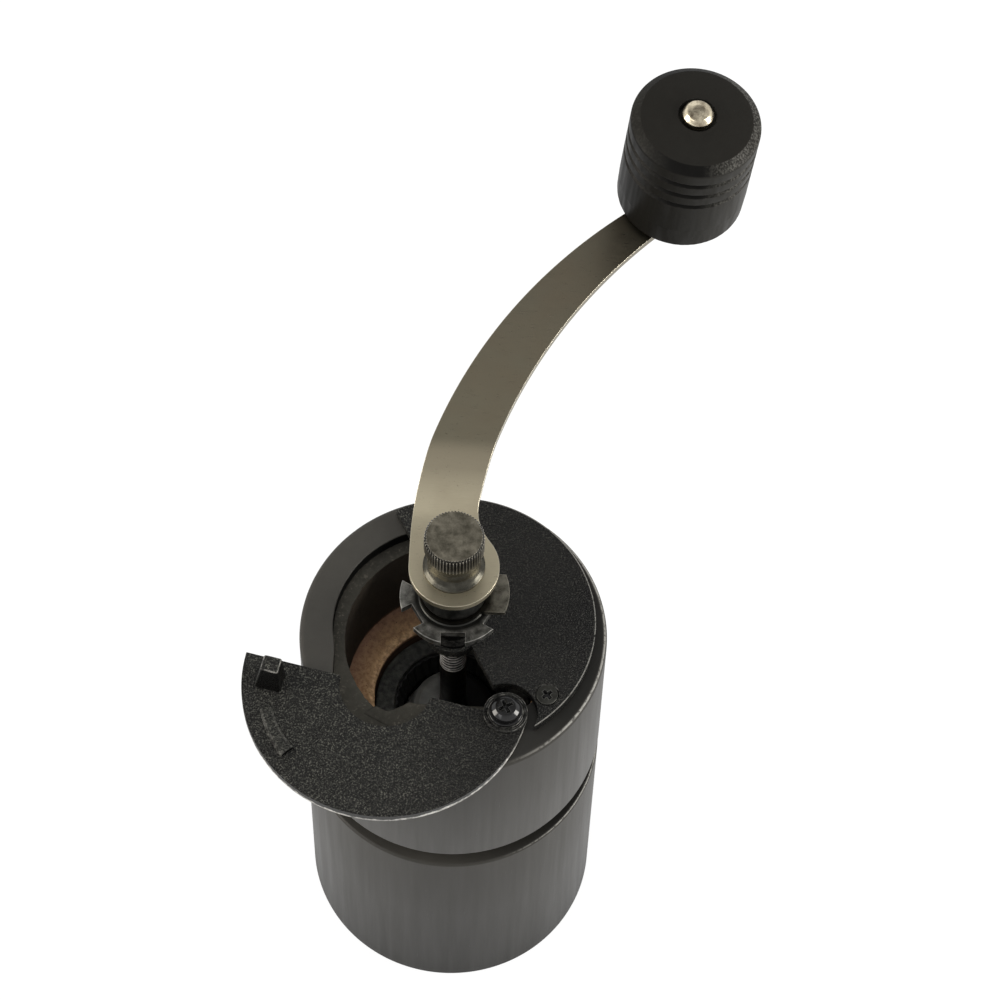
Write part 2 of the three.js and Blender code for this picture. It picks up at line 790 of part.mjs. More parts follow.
// A solid made about its own axis, stood square on the arm under the knob
function onKnobAxis(body) {
  const lean = Math.atan(armDroopShare) / degree;
  return body.rotate([0, lean, 0]).translate(knobX, knobY, armTopAt(knobX, knobY));
}

// Crank arm: the ring, the curved strip and the eye that the knob's pin is riveted into
function makeCrankArm() {
  const ring = bar(ringRadius, ringBottom, ringTop, bodyFacets);
  const eye = onKnobAxis(bar(armEndRadius, -armThickness, 0, boreFacets));
  const pinHole = onKnobAxis(bar(
    pinRadius + fitGap, -armThickness - cutOverrun, cutOverrun, smallFacets));
  const body = ring.add(makeArmStrip()).add(eye).subtract(pinHole)
    .subtract(flattedHole(ringBottom, ringTop));
  return piece('crank_arm', body, antiqueNickel);
}

// Thumb nut: a knurled head on a domed collar, blind above the thread
function makeThumbNut() {
  const dome = nutDomeShares.map(([inward, upward]) => [
    nutCollarRadius + (nutNeckRadius - nutCollarRadius) * inward,
    nutBottom + nutCollarHeight * upward,
  ]);
  const collar = turned([
    [0, nutBottom],
    ...dome,
    [nutNeckRadius, nutHeadBottom + smallEdge],
    [0, nutHeadBottom + smallEdge],
  ], boreFacets);
  const shape = new THREE.Shape();
  for (let i = 0; i < nutKnurls * 2; i += 1) {
    const radius = i % 2 === 0 ? nutHeadRadius : nutHeadRadius - nutKnurlDepth;
    const angle = (i * Math.PI) / nutKnurls;
    const point = [radius * Math.cos(angle), radius * Math.sin(angle)];
    if (i === 0) shape.moveTo(...point);
    else shape.lineTo(...point);
  }
  const knurled = plate(shape, nutHeadBottom, nutTop, 1);
  const bore = bar(boreClearance, nutBottom - cutOverrun, nutBoreTop, smallFacets);
  const body = collar.add(knurled).subtract(bore);
  return piece('thumb_nut', body, burnishedSteel);
}

// Height of the knob's crowned top over its foot's place on the arm
function knobCrownAt(radius) {
  const rise = knobCrown * (1 - (radius / (knobRadius - knobEdge)) ** 2);
  return knobWasherThickness + fitGap * 2 + knobHeight + rise;
}

// Knob: turned wood with three grooves, a bore for the pin and a recess for its head
function makeKnob() {
  const base = knobWasherThickness + fitGap * 2;
  const rim = knobRadius - knobEdge;
  const rimLean = Math.atan((knobCrown * 2) / rim) / degree;
  const recessTop = knobCrownAt(knobRecessRadius);
  const bore = pinRadius + fitGap;
  const profile = [
    [bore, base],
    ...corner(
      knobRadius - knobFootEdge, base + knobFootEdge, knobFootEdge, -90, 0, smallRoundSteps),
  ];
  for (const share of knobGrooveShares) {
    const height = base + knobHeight * share;
    profile.push(
      [knobRadius, height - knobGrooveWidth / 2],
      [knobRadius - knobGrooveDepth, height],
      [knobRadius, height + knobGrooveWidth / 2],
    );
  }
  profile.push(
    ...corner(rim, base + knobHeight - knobEdge, knobEdge, 0, 90 - rimLean, roundSteps),
    [rim * knobCrownShare, knobCrownAt(rim * knobCrownShare)],
    [knobRecessRadius, recessTop],
    [knobRecessRadius, recessTop - knobRecessDepth],
    [bore, recessTop - knobRecessDepth],
  );
  return piece('knob', onKnobAxis(turnedRing(profile, boreFacets)), blackWood);
}

// Pin riveted into the arm, with the domed head that holds the knob, and the washer under the knob
function makeKnobPin() {
  const foot = -armThickness - seatGap - pinFootHeight;
  const headBase = knobCrownAt(knobRecessRadius) - knobRecessDepth + fitGap;
  const pin = turned([
    [0, foot],
    [pinFootRadius - smallEdge, foot],
    [pinFootRadius, foot + smallEdge],
    [pinFootRadius, foot + pinFootHeight],
    [pinRadius, foot + pinFootHeight],
    [pinRadius, headBase],
    [pinHeadRadius, headBase],
    ...pinDomeShares.map(([outward, upward]) => [
      pinHeadRadius * outward, headBase + pinHeadHeight * upward]),
    [0, headBase + pinHeadHeight],
  ], smallFacets);
  const washer = sleeve(
    pinRadius + fitGap, knobWasherRadius, fitGap, fitGap + knobWasherThickness, smallFacets);
  return [
    piece('knob_pin', onKnobAxis(pin), antiqueNickel),
    piece('knob_washer', onKnobAxis(washer), burnishedSteel),
  ];
}

// Burr housing: a cast flange under the wood's shoulder with a sleeve up the throat
function makeBurrHousing() {
  const bore = burrOuterRadius + fitGap;
  const outer = throatRadius - fitGap;
  const top = flangeBottom + housingHeight;
  let body = turnedRing([
    [bore, flangeBottom],
    [pocketRadius - fitGap, flangeBottom],
    [pocketRadius - fitGap, flangeTop],
    [outer, flangeTop],
    [outer, top - smallEdge],
    [outer - smallEdge, top],
    [housingLipRadius, top],
    [housingLipRadius, top - housingLipHeight],
    [bore, top - housingLipHeight],
  ], boreFacets);
  for (const angle of housingScrewAngles()) {
    const hole = bar(
      woodScrewRadius + fitGap, flangeBottom - cutOverrun, flangeTop + cutOverrun, screwFacets,
      housingScrewCircle);
    body = body.subtract(turnAbout(hole, angle));
  }
  return piece('burr_housing', body, castIron);
}

// Bearing bridge: a ring with three spokes to the hub of the lower bearing
function makeBearingBridge() {
  const outer = pocketRadius - fitGap;
  const ringBase = bridgeTop - bridgeThickness;
  let body = sleeve(outer - bridgeRingWidth, outer, ringBase, bridgeTop, boreFacets);
  for (let i = 0; i < spokeCount; i += 1) {
    const spoke = block(
      outer / 2, 0, (hubBottom + hubTop) / 2 + bridgeHubHeight / 4,
      outer - bridgeThickness, spokeWidth, bridgeHubHeight / 2);
    const riser = block(
      outer - bridgeRingWidth / 2, 0, (hubTop - bridgeHubHeight / 2 + bridgeTop) / 2,
      bridgeRingWidth * bridgeRiserShare, spokeWidth, bridgeTop - hubTop + bridgeHubHeight / 2);
    body = body.add(turnAbout(spoke.add(riser), (i * 360) / spokeCount));
  }
  body = body.add(bar(bridgeHubRadius, hubBottom, hubTop, smallFacets));
  body = body.intersect(bar(outer, hubBottom, bridgeTop, boreFacets));
  body = body.subtract(bar(
    bushRadius + fitGap, hubBottom - cutOverrun, hubTop + cutOverrun, smallFacets));
  for (const angle of housingScrewAngles()) {
    const hole = bar(
      woodScrewRadius + fitGap, ringBase - cutOverrun, bridgeTop + cutOverrun, screwFacets,
      housingScrewCircle);
    body = body.subtract(turnAbout(hole, angle));
  }
  return piece('bearing_bridge', body, castIron);
}

function makeLowerBush() {
  const body = sleeve(boreClearance, bushRadius, hubBottom, hubTop, smallFacets);
  return piece('lower_bush', body, bronze);
}

// Screws that hold the bridge and the housing up to the wood
function makeHousingScrews() {
  const seat = bridgeTop - bridgeThickness - seatGap;
  return housingScrewAngles().map((angle, i) => {
    const tip = seat + housingScrewLength;
    const base = seat - housingScrewHeadHeight;
    const body = turned([
      [0, base],
      [housingScrewHead - smallEdge, base],
      [housingScrewHead, base + smallEdge],
      [housingScrewHead, seat],
      [woodScrewRadius, seat],
      [woodScrewRadius, tip - woodScrewRadius],
      [0, tip],
    ], screwFacets).translate(housingScrewCircle, 0, 0);
    return piece(`housing_screw_${i + 1}`, turnAbout(body, angle), blackScrew);
  });
}

// A burr face: a ring of teeth on one side of a turned profile
function toothedRing(rows, teeth, depth, twist, plainRadius, toothSide) {
  const around = teeth * 2;
  const position = [];
  rows.forEach(([radius, height], row) => {
    const turn = (twist * degree * row) / (rows.length - 1);
    for (let i = 0; i < around; i += 1) {
      const angle = (i * 2 * Math.PI) / around + turn;
      const tooth = radius - toothSide * (i % 2) * depth;
      position.push(tooth * Math.cos(angle), tooth * Math.sin(angle), height);
    }
  });
  for (const height of [rows[rows.length - 1][1], rows[0][1]]) {
    for (let i = 0; i < around; i += 1) {
      const angle = (i * 2 * Math.PI) / around + (height === rows[0][1] ? 0 : twist * degree);
      position.push(plainRadius * Math.cos(angle), plainRadius * Math.sin(angle), height);
    }
  }
  const loops = rows.length + 2;
  const index = [];
  for (let loop = 0; loop < loops; loop += 1) {
    const next = (loop + 1) % loops;
    for (let i = 0; i < around; i += 1) {
      const j = (i + 1) % around;
      const [a, b, c, d] = [loop * around + i, loop * around + j, next * around + j, next * around + i];
      index.push(a, b, c, a, c, d);
    }
  }
  const geometry = new THREE.BufferGeometry();
  geometry.setAttribute('position', new THREE.Float32BufferAttribute(position, 3));
  geometry.setIndex(index);
  return solid(geometry);
}

// Outer burr: held in the housing under its lip
function makeOuterBurr() {
  const waist = outerBurrBottom + outerBurrHeight * (1 - outerBurrWaistShare);
  const rows = [
    [outerBurrFootRadius, outerBurrBottom],
    [outerBurrWaistRadius, waist],
    [outerBurrTopRadius, burrTop],
  ];
  const body = toothedRing(
    rows, outerBurrTeeth, outerBurrToothDepth, 0, burrOuterRadius, -1);
  return piece('outer_burr', body, burrSteel);
}

// Inner burr: a cone with spiral teeth, driven by the pin in the slot under it
function makeInnerBurr() {
  const waist = outerBurrBottom + outerBurrHeight * (1 - outerBurrWaistShare);
  const rows = [
    [innerBurrFootRadius, innerBurrBottom],
    [innerBurrFootRadius, innerBurrBottom + burrDrop / 2],
    [innerBurrWaistRadius, waist],
    [innerBurrTopRadius, innerBurrBottom + innerBurrHeight],
  ];
  const cone = toothedRing(
    rows, innerBurrTeeth, innerBurrToothDepth, innerBurrTwist, boreClearance, 1);
  const slot = block(
    0, 0, drivePinHeight() - cutOverrun, drivePinLength + fitGap * 4,
    (drivePinRadius + fitGap) * 2, (drivePinRadius + fitGap + cutOverrun) * 2);
  return piece('inner_burr', cone.subtract(slot), burrSteel);
}

function makeDrivePin() {
  const body = bar(drivePinRadius, -drivePinLength / 2, drivePinLength / 2, screwFacets)
    .rotate([0, 90, 0]).translate(0, 0, drivePinHeight());
  return piece('drive_pin', body, springSteel);
}

// Spring that draws the shaft down so that the adjuster stays on its washer
function makeShaftSpring() {
  const steps = springCurls * springStepsPerCurl;
  const rise = (springHeight - springWireRadius * 2) / springCurls;
  const position = [];
  for (let i = 0; i <= steps; i += 1) {
    const angle = (i * 2 * Math.PI) / springStepsPerCurl;
    const middle = springBottom + springWireRadius + (rise * i) / springStepsPerCurl;
    for (let side = 0; side < springSides; side += 1) {
      const around = (side * 2 * Math.PI) / springSides;
      const radius = springRadius + springWireRadius * Math.cos(around);
      position.push(
        radius * Math.cos(angle), radius * Math.sin(angle), middle + springWireRadius * Math.sin(around));
    }
  }
  const index = [];
  for (let i = 0; i < steps; i += 1) {
    for (let side = 0; side < springSides; side += 1) {
      const next = (side + 1) % springSides;
      const [a, b] = [i * springSides + side, i * springSides + next];
      index.push(a, b, b + springSides, a, b + springSides, a + springSides);
    }
  }
  for (let side = 1; side < springSides - 1; side += 1) {
    index.push(0, side + 1, side);
    const last = steps * springSides;
    index.push(last, last + side, last + side + 1);
  }
  const geometry = new THREE.BufferGeometry();
  geometry.setAttribute('position', new THREE.Float32BufferAttribute(position, 3));
  geometry.setIndex(index);
  return piece('shaft_spring', solid(geometry), springSteel);
}

// Least gap between the spring's turns, measured on its wire's centre points
function springTurnGap() {
  const rise = (springHeight - springWireRadius * 2) / springCurls;
  let least = Infinity;
  const steps = springCurls * springStepsPerCurl;
  const point = (i) => {
    const angle = (i * 2 * Math.PI) / springStepsPerCurl;
    return new THREE.Vector3(
      springRadius * Math.cos(angle), springRadius * Math.sin(angle),
      (rise * i) / springStepsPerCurl);
  };
  for (let i = 0; i <= steps; i += 1) {
    for (let j = i + springStepsPerCurl / 2; j <= steps; j += 1) {
      least = Math.min(least, point(i).distanceTo(point(j)) - springWireRadius * 2);
    }
  }
  return least;
}

function makeSpringWasher() {
  const body = sleeve(
    boreClearance, springWasherRadius, springWasherBottom, springWasherTop, smallFacets);
  return piece('spring_washer', body, springSteel);
}

function makeEndNut() {
  const body = bar(endNutRadius, endNutBottom, endNutTop, endNutSides)
    .subtract(bar(boreClearance, endNutBottom - cutOverrun, endNutTop + cutOverrun, smallFacets));
  return piece('end_nut', body, springSteel);
}

// The lid's group stands on the pivot axis, turned to the open place of the photograph's pose
function makeLidGroup() {
  const group = new THREE.Group();
  group.position.set(pivotX, pivotY, 0);
  const lid = piece('lid', makeLid(), powderCoat);
  lid.rotation.z = (plateEdgeAzimuth + lidOpenAngle) * degree;
  group.add(lid, ...makeLidPivot());
  return group;
}

console.log(`least gap between spring turns: ${springTurnGap().toFixed(2)} mm`);

const grinder = new THREE.Group();
grinder.add(
  makeGroundsCup(), makeHopperBody(), makeTopPlate(), ...makePlateScrews(), makeLidGroup(),
  ...makeUpperBearing(), makeStarWheel(), makeLockPlate(), makeSeatCone(), makeDriveShaft(),
  makeCrankArm(), makeThumbNut(), makeKnob(), ...makeKnobPin(), makeBurrHousing(),
  makeBearingBridge(), makeLowerBush(), ...makeHousingScrews(), makeOuterBurr(), makeInnerBurr(),
  makeDrivePin(), makeShaftSpring(), makeSpringWasher(), makeEndNut(),
);

export default grinder;
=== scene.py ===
"""Looks of a hand cranked coffee grinder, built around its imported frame. Sizes are in millimetres."""

import json
import math

import bmesh
import bpy
import numpy as np
from mathutils import Matrix, Vector, noise


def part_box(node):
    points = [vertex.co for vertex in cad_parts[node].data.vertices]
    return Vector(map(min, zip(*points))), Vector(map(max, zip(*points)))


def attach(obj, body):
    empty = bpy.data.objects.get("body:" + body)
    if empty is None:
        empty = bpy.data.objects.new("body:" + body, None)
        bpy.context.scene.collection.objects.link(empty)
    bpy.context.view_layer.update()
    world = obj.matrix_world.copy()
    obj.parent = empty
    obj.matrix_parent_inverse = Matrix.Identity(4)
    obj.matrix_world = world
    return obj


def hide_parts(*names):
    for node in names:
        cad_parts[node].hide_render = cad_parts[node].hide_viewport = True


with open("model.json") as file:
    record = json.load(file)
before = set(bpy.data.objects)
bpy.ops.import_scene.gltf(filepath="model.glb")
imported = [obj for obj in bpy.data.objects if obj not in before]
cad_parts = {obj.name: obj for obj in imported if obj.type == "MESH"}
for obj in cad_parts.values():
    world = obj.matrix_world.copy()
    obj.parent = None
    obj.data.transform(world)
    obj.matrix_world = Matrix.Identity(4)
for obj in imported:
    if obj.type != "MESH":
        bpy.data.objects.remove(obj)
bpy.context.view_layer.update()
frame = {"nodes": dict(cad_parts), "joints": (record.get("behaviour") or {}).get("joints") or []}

MM = 0.001
# Sides of a turned piece: small, plain, and fine
SMALL, ROUND, FINE = 96, 192, 384

# Camera, as the photograph was taken
CAMERA_PLACE = (10.949, -416.790, 988.526)
CAMERA_PITCH = 61.66
CAMERA_ROLL = 1.94
CAMERA_LENS = 130.65
SENSOR = 36.0


def low(node):
    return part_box(node)[0] / MM


def high(node):
    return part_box(node)[1] / MM


def radius(node):
    return (high(node).x - low(node).x) / 2


# Heights and radii read from the frame
BODY_RADIUS = radius("hopper_body")
CUP_TOP = high("grounds_cup").z
BODY_TOP = high("hopper_body").z
PLATE_LOW = low("top_plate").z
PLATE_TOP = high("top_plate").z
WHEEL_LOW = low("star_wheel").z
WHEEL_RADIUS = radius("star_wheel")
LOCK_LOW = low("lock_plate").z
LOCK_TOP = high("lock_plate").z
SHAFT_RADIUS = radius("drive_shaft")
SHAFT_LOW = low("drive_shaft").z
SHAFT_TOP = high("drive_shaft").z
NUT_LOW = low("thumb_nut").z
NUT_TOP = high("thumb_nut").z
BUSH_LOW = low("upper_bush").z
PIVOT = (low("lid_pivot_screw") + high("lid_pivot_screw")) / 2
KNOB_SPIN = next(joint for joint in frame["joints"] if joint["name"] == "knob_spin")
KNOB_FOOT = Vector(KNOB_SPIN["pos_m"]) / MM
KNOB_AXIS = Vector(KNOB_SPIN["axis"]).normalized()

# Sizes that the frame doesn't give
CLEAR = 0.3
SHAFT_BORE = SHAFT_RADIUS + CLEAR
SPIGOT_RADIUS = 34.7
REVEAL = 7.6
HOPPER_BORE = 28.2
THROAT_RADIUS = 21.0
FUNNEL_TOP = BODY_TOP - 34.0
FUNNEL_FOOT = FUNNEL_TOP - 4.0
POCKET_RADIUS = 29.0
SHOULDER = FUNNEL_FOOT - 12.5
LEDGE_RADIUS = 28.9
LEDGE_CENTRE = (-2.4, 1.7)
LEDGE_FLOOR = BODY_TOP - 4.0
LEDGE_BAY = 6.4
POST_RADIUS = 6.0
PLATE_AZIMUTH = 118.5
PLATE_EDGE = 1.8
PLATE_RADIUS = 36.0
PLATE_CENTRE = (0.9, 2.0)
EYE_RADIUS = 7.2
PIVOT_CUT = 8.3
SCREW_INSET = 13.0
SCREW_SPREAD = 27.9
SCREW_HEAD = 2.95
LID_RADIUS = 37.2
LID_THICKNESS = 2.5
LID_REACH = 31.7
LID_INSET = 0.16
LID_EDGE = 0.8
LID_NOTCH = 12.1
LID_ANGLE = PLATE_AZIMUTH + 48.5
BOSS_RADIUS = 5.7
BOSS_RISE = 0.8
RING_RADIUS = 11.4
RING_TOP = NUT_LOW - 0.1
ARM_THICKNESS = 2.0
ARM_RISE = 8.0
RAMP = (12.0, 33.0)
DROOP = 0.068
FLATS = 5.6
PITCH = 1.5
THREAD_DROP = 13.5
THREAD_DEPTH = 0.55
NUT_RADIUS = 7.58
KNURL_ROOT = 7.0
KNURLS = 56

CORNERS = ((-1, -1), (1, -1), (1, 1), (-1, 1))


# Mesh making


def polar(size, degrees):
    angle = math.radians(degrees)
    return Vector((size * math.cos(angle), size * math.sin(angle)))


def new_object(name, mesh):
    piece = bpy.data.objects.new(name, mesh)
    bpy.context.scene.collection.objects.link(piece)
    return piece


def mesh_object(name, points, faces):
    """A mesh from points in millimetres."""
    mesh = bpy.data.meshes.new(name)
    mesh.from_pydata([tuple(c * MM for c in point) for point in points], [], faces)
    mesh.validate()
    mesh.update()
    return new_object(name, mesh)


def face_outwards(piece):
    """Turns a closed mesh's faces outwards."""
    work = bmesh.new()
    work.from_mesh(piece.data)
    bmesh.ops.recalc_face_normals(work, faces=work.faces)
    work.to_mesh(piece.data)
    work.free()
    return piece


def prism(name, lower, upper):
    """A closed block between two loops of as many points."""
    count = len(lower)
    faces = [tuple(range(count))[::-1], tuple(range(count, 2 * count))]
    faces += [(i, (i + 1) % count, (i + 1) % count + count, i + count) for i in range(count)]
    return face_outwards(mesh_object(name, [*lower, *upper], faces))


def slab(name, outline, bottom, top):
    """A closed block with the same outline at both heights."""
    return prism(name, *([(x, y, z) for x, y in outline] for z in (bottom, top)))


def block(name, *levels):
    """A block between two rectangles, each given as height, length, width and middle."""
    return prism(name, *([(x + a * long / 2, y + b * wide / 2, z) for a, b in CORNERS]
                         for z, long, wide, x, y in levels))


def box_object(name, centre, size, turn=0):
    """A plain cutter block, turned about the body's axis."""
    (x, y, z), (long, wide, tall) = centre, size
    return move(block(name, *((z + side * tall / 2, long, wide, x, y) for side in (-1, 1))), turn=turn)


def move(piece, offset=(0, 0, 0), turn=0):
    """Turns a mesh about Z and then moves it, in its vertices."""
    piece.data.transform(
        Matrix.Translation(Vector(offset).to_3d() * MM) @ Matrix.Rotation(math.radians(turn), 4, "Z"))
    return piece


def join(name, parts):
    """Several closed shells as one object."""
    work = bmesh.new()
    for part in parts:
        work.from_mesh(part.data)
    mesh = bpy.data.meshes.new(name)
    work.to_mesh(mesh)
    work.free()
    for part in parts:
        bpy.data.objects.remove(part)
    return new_object(name, mesh)


def changed(piece, kind, **settings):
    """Applies a modifier with these settings to a piece's mesh."""
    step = piece.modifiers.new("step", kind)
    for key, value in settings.items():
        setattr(step, key, value)
    graph = bpy.context.evaluated_depsgraph_get()
    mesh = bpy.data.meshes.new_from_object(piece.evaluated_get(graph))
    piece.modifiers.clear()
    piece.data = mesh
    return piece


def combine(piece, others, operation):
    """Joins or cuts a piece with others, which are used up."""
    for other in others:
        changed(piece, "BOOLEAN", operation=operation, solver="EXACT", object=other)
        bpy.data.objects.remove(other)
    return piece


def bevelled(piece, width, segments=3, angle=40):
    """Rounds a piece's sharp edges."""
    return changed(piece, "BEVEL", width=width * MM, segments=segments, limit_method="ANGLE",
                   angle_limit=math.radians(angle))


def smooth(piece, angle=35):
    """Smooth shading, with edges sharper than angle left sharp."""
    piece.data.polygons.foreach_set("use_smooth", [True] * len(piece.data.polygons))
    piece.data.set_sharp_from_angle(angle=math.radians(angle))
    return piece


def polished(piece, angle=35):
    """Smooth shading whose flat faces stay flat between rounded edges."""
    return changed(smooth(piece, angle), "WEIGHTED_NORMAL", keep_sharp=True, weight=90)


def eased(points, steps=5):
    """An outline with round corners, from (x, y) or (x, y, corner radius) points; the ends stay."""
    made = []
    for i, point in enumerate(points):
        here = Vector(point[:2])
        if len(point) < 3 or i in (0, len(points) - 1):
            made.append(tuple(here))
            continue
        before, after = Vector(points[i - 1][:2]) - here, Vector(points[i + 1][:2]) - here
        turn = before.angle(after)
        back = min(point[2] / math.tan(turn / 2), before.length / 2, after.length / 2)
        size = back * math.tan(turn / 2)
        middle = here + (before.normalized() + after.normalized()).normalized() * size / math.sin(turn / 2)
        first = here + before.normalized() * back - middle
        last = here + after.normalized() * back - middle
        sweep = first.angle_signed(last)
        for step in range(steps + 1):
            arm = first.copy()
            arm.rotate(Matrix.Rotation(-sweep * step / steps, 2))
            made.append(tuple(middle + arm))
    return made


def turned(name, profile, around=ROUND, shape=None, closed=False):
    """A turned piece from (radius, height) points. shape(angle, radius, height) may change the radius."""
    points, rings = [], []
    for distance, height in profile:
        if distance == 0:
            rings.append([len(points)] * around)
            points.append((0, 0, height))
            continue
        rings.append(list(range(len(points), len(points) + around)))
        for i in range(around):
            angle = 2 * math.pi * i / around
            size = shape(angle, distance, height) if shape else distance
            points.append((size * math.cos(angle), size * math.sin(angle), height))
    faces = []
    for lower, upper in zip(rings, rings[1:] + rings[:1] if closed else rings[1:]):
        for i in range(around):
            j = (i + 1) % around
            corners = [lower[i], lower[j], upper[j], upper[i]]
            face = [c for n, c in enumerate(corners) if c not in corners[:n]]
            if len(face) > 2:
                faces.append(face)
    return face_outwards(mesh_object(name, points, faces))


def drum(name, size, bottom, top, place=(0, 0), around=ROUND):
    """A plain cutter or blank of round section."""
    return move(turned(name, [(0, bottom), (size, bottom), (size, top), (0, top)], around), place)


def flatted_hole(middle, reach):
    """A cutter of the shaft's section with its two flats."""
    hole = box_object("flats", (0, 0, middle), (20, FLATS + 2 * CLEAR, 9))
    return combine(hole, [drum("round", SHAFT_BORE, middle - reach, middle + reach)], "INTERSECT")


def dress(piece, body, slot, node, *materials):
    """Finishes a piece: its materials, its body and the CAD node that it stands for. The slot is not used."""
    piece.data.materials.clear()
    for material in materials:
        piece.data.materials.append(material)
    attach(piece, body)
    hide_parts(node)
    return piece


def paint(piece, index, chosen):
    """Gives the faces that chosen(centre in mm, normal) picks another of the piece's materials."""
    for face in piece.data.polygons:
        if chosen(face.center / MM, face.normal):
            face.material_index = index


# Materials


class Nodes:
    """A node tree, with short calls for the nodes used here."""

    def __init__(self, tree):
        self.tree = tree

    def feed(self, socket, value):
        """Links a socket to another one, or sets it."""
        if isinstance(value, bpy.types.NodeSocket):
            self.tree.links.new(value, socket)
        else:
            socket.default_value = value

    def node(self, kind, inputs=None, **settings):
        made = self.tree.nodes.new(kind)
        for key, value in settings.items():
            setattr(made, key, value)
        for key, value in (inputs or {}).items():
            self.feed(made.inputs[key], value)
        return made

    def span(self, value, low_in, high_in, low_out=0.0, high_out=1.0, smooth_step=False):
        return self.node("ShaderNodeMapRange", {
            "Value": value, "From Min": low_in, "From Max": high_in, "To Min": low_out,
            "To Max": high_out},
            interpolation_type="SMOOTHSTEP" if smooth_step else "LINEAR").outputs["Result"]

    def blend(self, share, first, second):
        return self.node("ShaderNodeMix", {0: share, 2: first, 3: second}).outputs[0]

    def math(self, operation, first, second=0.0):
        return self.node("ShaderNodeMath", {0: first, 1: second}, operation=operation).outputs[0]

    def times(self, product, *factors):
        for factor in factors:
            product = self.math("MULTIPLY", product, factor)
        return product

    def seen(self):
        """1 for camera, glossy and transmission rays, 0 for the rest."""
        path = self.node("ShaderNodeLightPath").outputs
        total = path["Is Camera Ray"]
        for name in ("Is Glossy Ray", "Is Transmission Ray"):
            total = self.math("MAXIMUM", total, path[name])
        return total


class Shader(Nodes):
    """A material's node tree."""

    def __init__(self, name):
        self.material = bpy.data.materials.new(name)
        self.material.use_nodes = True
        super().__init__(self.material.node_tree)
        self.surface = self.tree.nodes["Principled BSDF"]
        self.place = self.node("ShaderNodeTexCoord").outputs["Object"]
        self.tint = None

    def finish(self, roughness, relief=None, specular=0.5, metallic=0.0):
        """Sets the surface's sockets and gives the material."""
        for key, value in (("Base Color", self.tint), ("Roughness", roughness), ("Metallic", metallic),
                           ("Specular IOR Level", specular), ("Normal", relief)):
            if value is not None:
                self.feed(self.surface.inputs[key], value)
        return self.material

    def coat(self, share, colour):
        """Covers the tint with a colour by a share."""
        self.tint = self.mix(share, self.tint, colour)

    def vector(self, operation, first, second=(0, 0, 0)):
        return self.node("ShaderNodeVectorMath", {0: first, 1: second}, operation=operation).outputs

    def stretched(self, scale):
        return self.node("ShaderNodeMapping", {"Vector": self.place, "Scale": scale}).outputs[0]

    def noise(self, size, detail=3.0, roughness=0.5, vector=None, distortion=0.0):
        """Noise whose blobs are about size millimetres across."""
        return self.node("ShaderNodeTexNoise", {
            "Vector": vector or self.place, "Scale": 1 / (size * MM), "Detail": detail,
            "Roughness": roughness, "Distortion": distortion}).outputs["Fac"]

    def ramp(self, value, *stops):
        """A colour ramp from (position, colour) stops."""
        made = self.node("ShaderNodeValToRGB", {"Fac": value})
        ramp = made.color_ramp
        while len(ramp.elements) < len(stops):
            ramp.elements.new(0.5)
        for element, (position, colour) in zip(ramp.elements, stops):
            element.position = position
            element.color = (*colour, 1)
        return made.outputs["Color"]

    def mix(self, share, first, second):
        """A mix of two colours, each a socket or three numbers."""
        colours = [c if isinstance(c, bpy.types.NodeSocket) else (*c, 1) for c in (first, second)]
        return self.node(
            "ShaderNodeMix", {0: share, 6: colours[0], 7: colours[1]}, data_type="RGBA").outputs[2]

    def axis(self, name):
        return self.node("ShaderNodeSeparateXYZ", {0: self.place}).outputs[name]

    def over(self, axis, start, end, *outs):
        """The span of an axis from start to end, in millimetres."""
        return self.span(self.axis(axis), start * MM, end * MM, *outs)

    def edges(self, width):
        """1 near sharp edges and 0 on open faces, from the bevelled normal."""
        bevel = self.node("ShaderNodeBevel", {"Radius": width * MM}, samples=6).outputs[0]
        plain = self.node("ShaderNodeNewGeometry").outputs["Normal"]
        return self.span(self.vector("DOT_PRODUCT", bevel, plain)["Value"], 0.995, 0.85)

    def distance(self):
        """Distance from the body's axis, in metres."""
        flat = self.vector("MULTIPLY", self.place, (1, 1, 0))[0]
        return self.vector("LENGTH", flat)["Value"]

    def rise(self):
        """1 where the surface looks straight up, 0 where it is upright."""
        normal = self.node("ShaderNodeNewGeometry").outputs["Normal"]
        return self.node("ShaderNodeSeparateXYZ", {0: normal}).outputs["Z"]

    def slant(self, start=0.3, full=0.5, fade=0.85, end=0.97):
        """1 on rounded edges that look up and outwards, 0 on level and upright faces."""
        rise = self.rise()
        return self.times(self.span(rise, start, full), self.span(rise, end, fade))

    def bump(self, height, depth, strength=1.0, below=None):
        inputs = {"Height": height, "Distance": depth * MM, "Strength": strength}
        if below:
            inputs["Normal"] = below
        return self.node("ShaderNodeBump", inputs).outputs[0]


def dim(share, *colour):
    return [share * c for c in colour]


def painted_top_and_rim_light(s):
    """A stained body's level faces, a little paler as painted light and darker to the right as painted shade,
    and its rim there with a pale painted highlight in ragged patches.
    """
    level = s.rise()
    # Painted light: level faces a little paler.
    s.coat(s.span(level, 0.85, 0.97, 0, 0.006), (1, 0.98, 0.92))
    # Painted shade: level faces darker to the right.
    s.coat(s.times(s.span(level, 0.85, 0.97), s.over("X", -5, 30, 0, 0.8)), (0.003, 0.003, 0.0025))
    # Painted highlight: a pale line along the rim's rounded edge on the right, in ragged patches.
    patches = s.span(s.noise(1.2, 4, 0.65), 0.36, 0.5)
    rim = s.times(s.slant(0.6, 0.7, 0.83, 0.93), s.over("X", 15, 30, 0, 0.75), patches)
    s.coat(rim, (0.2, 0.195, 0.18))


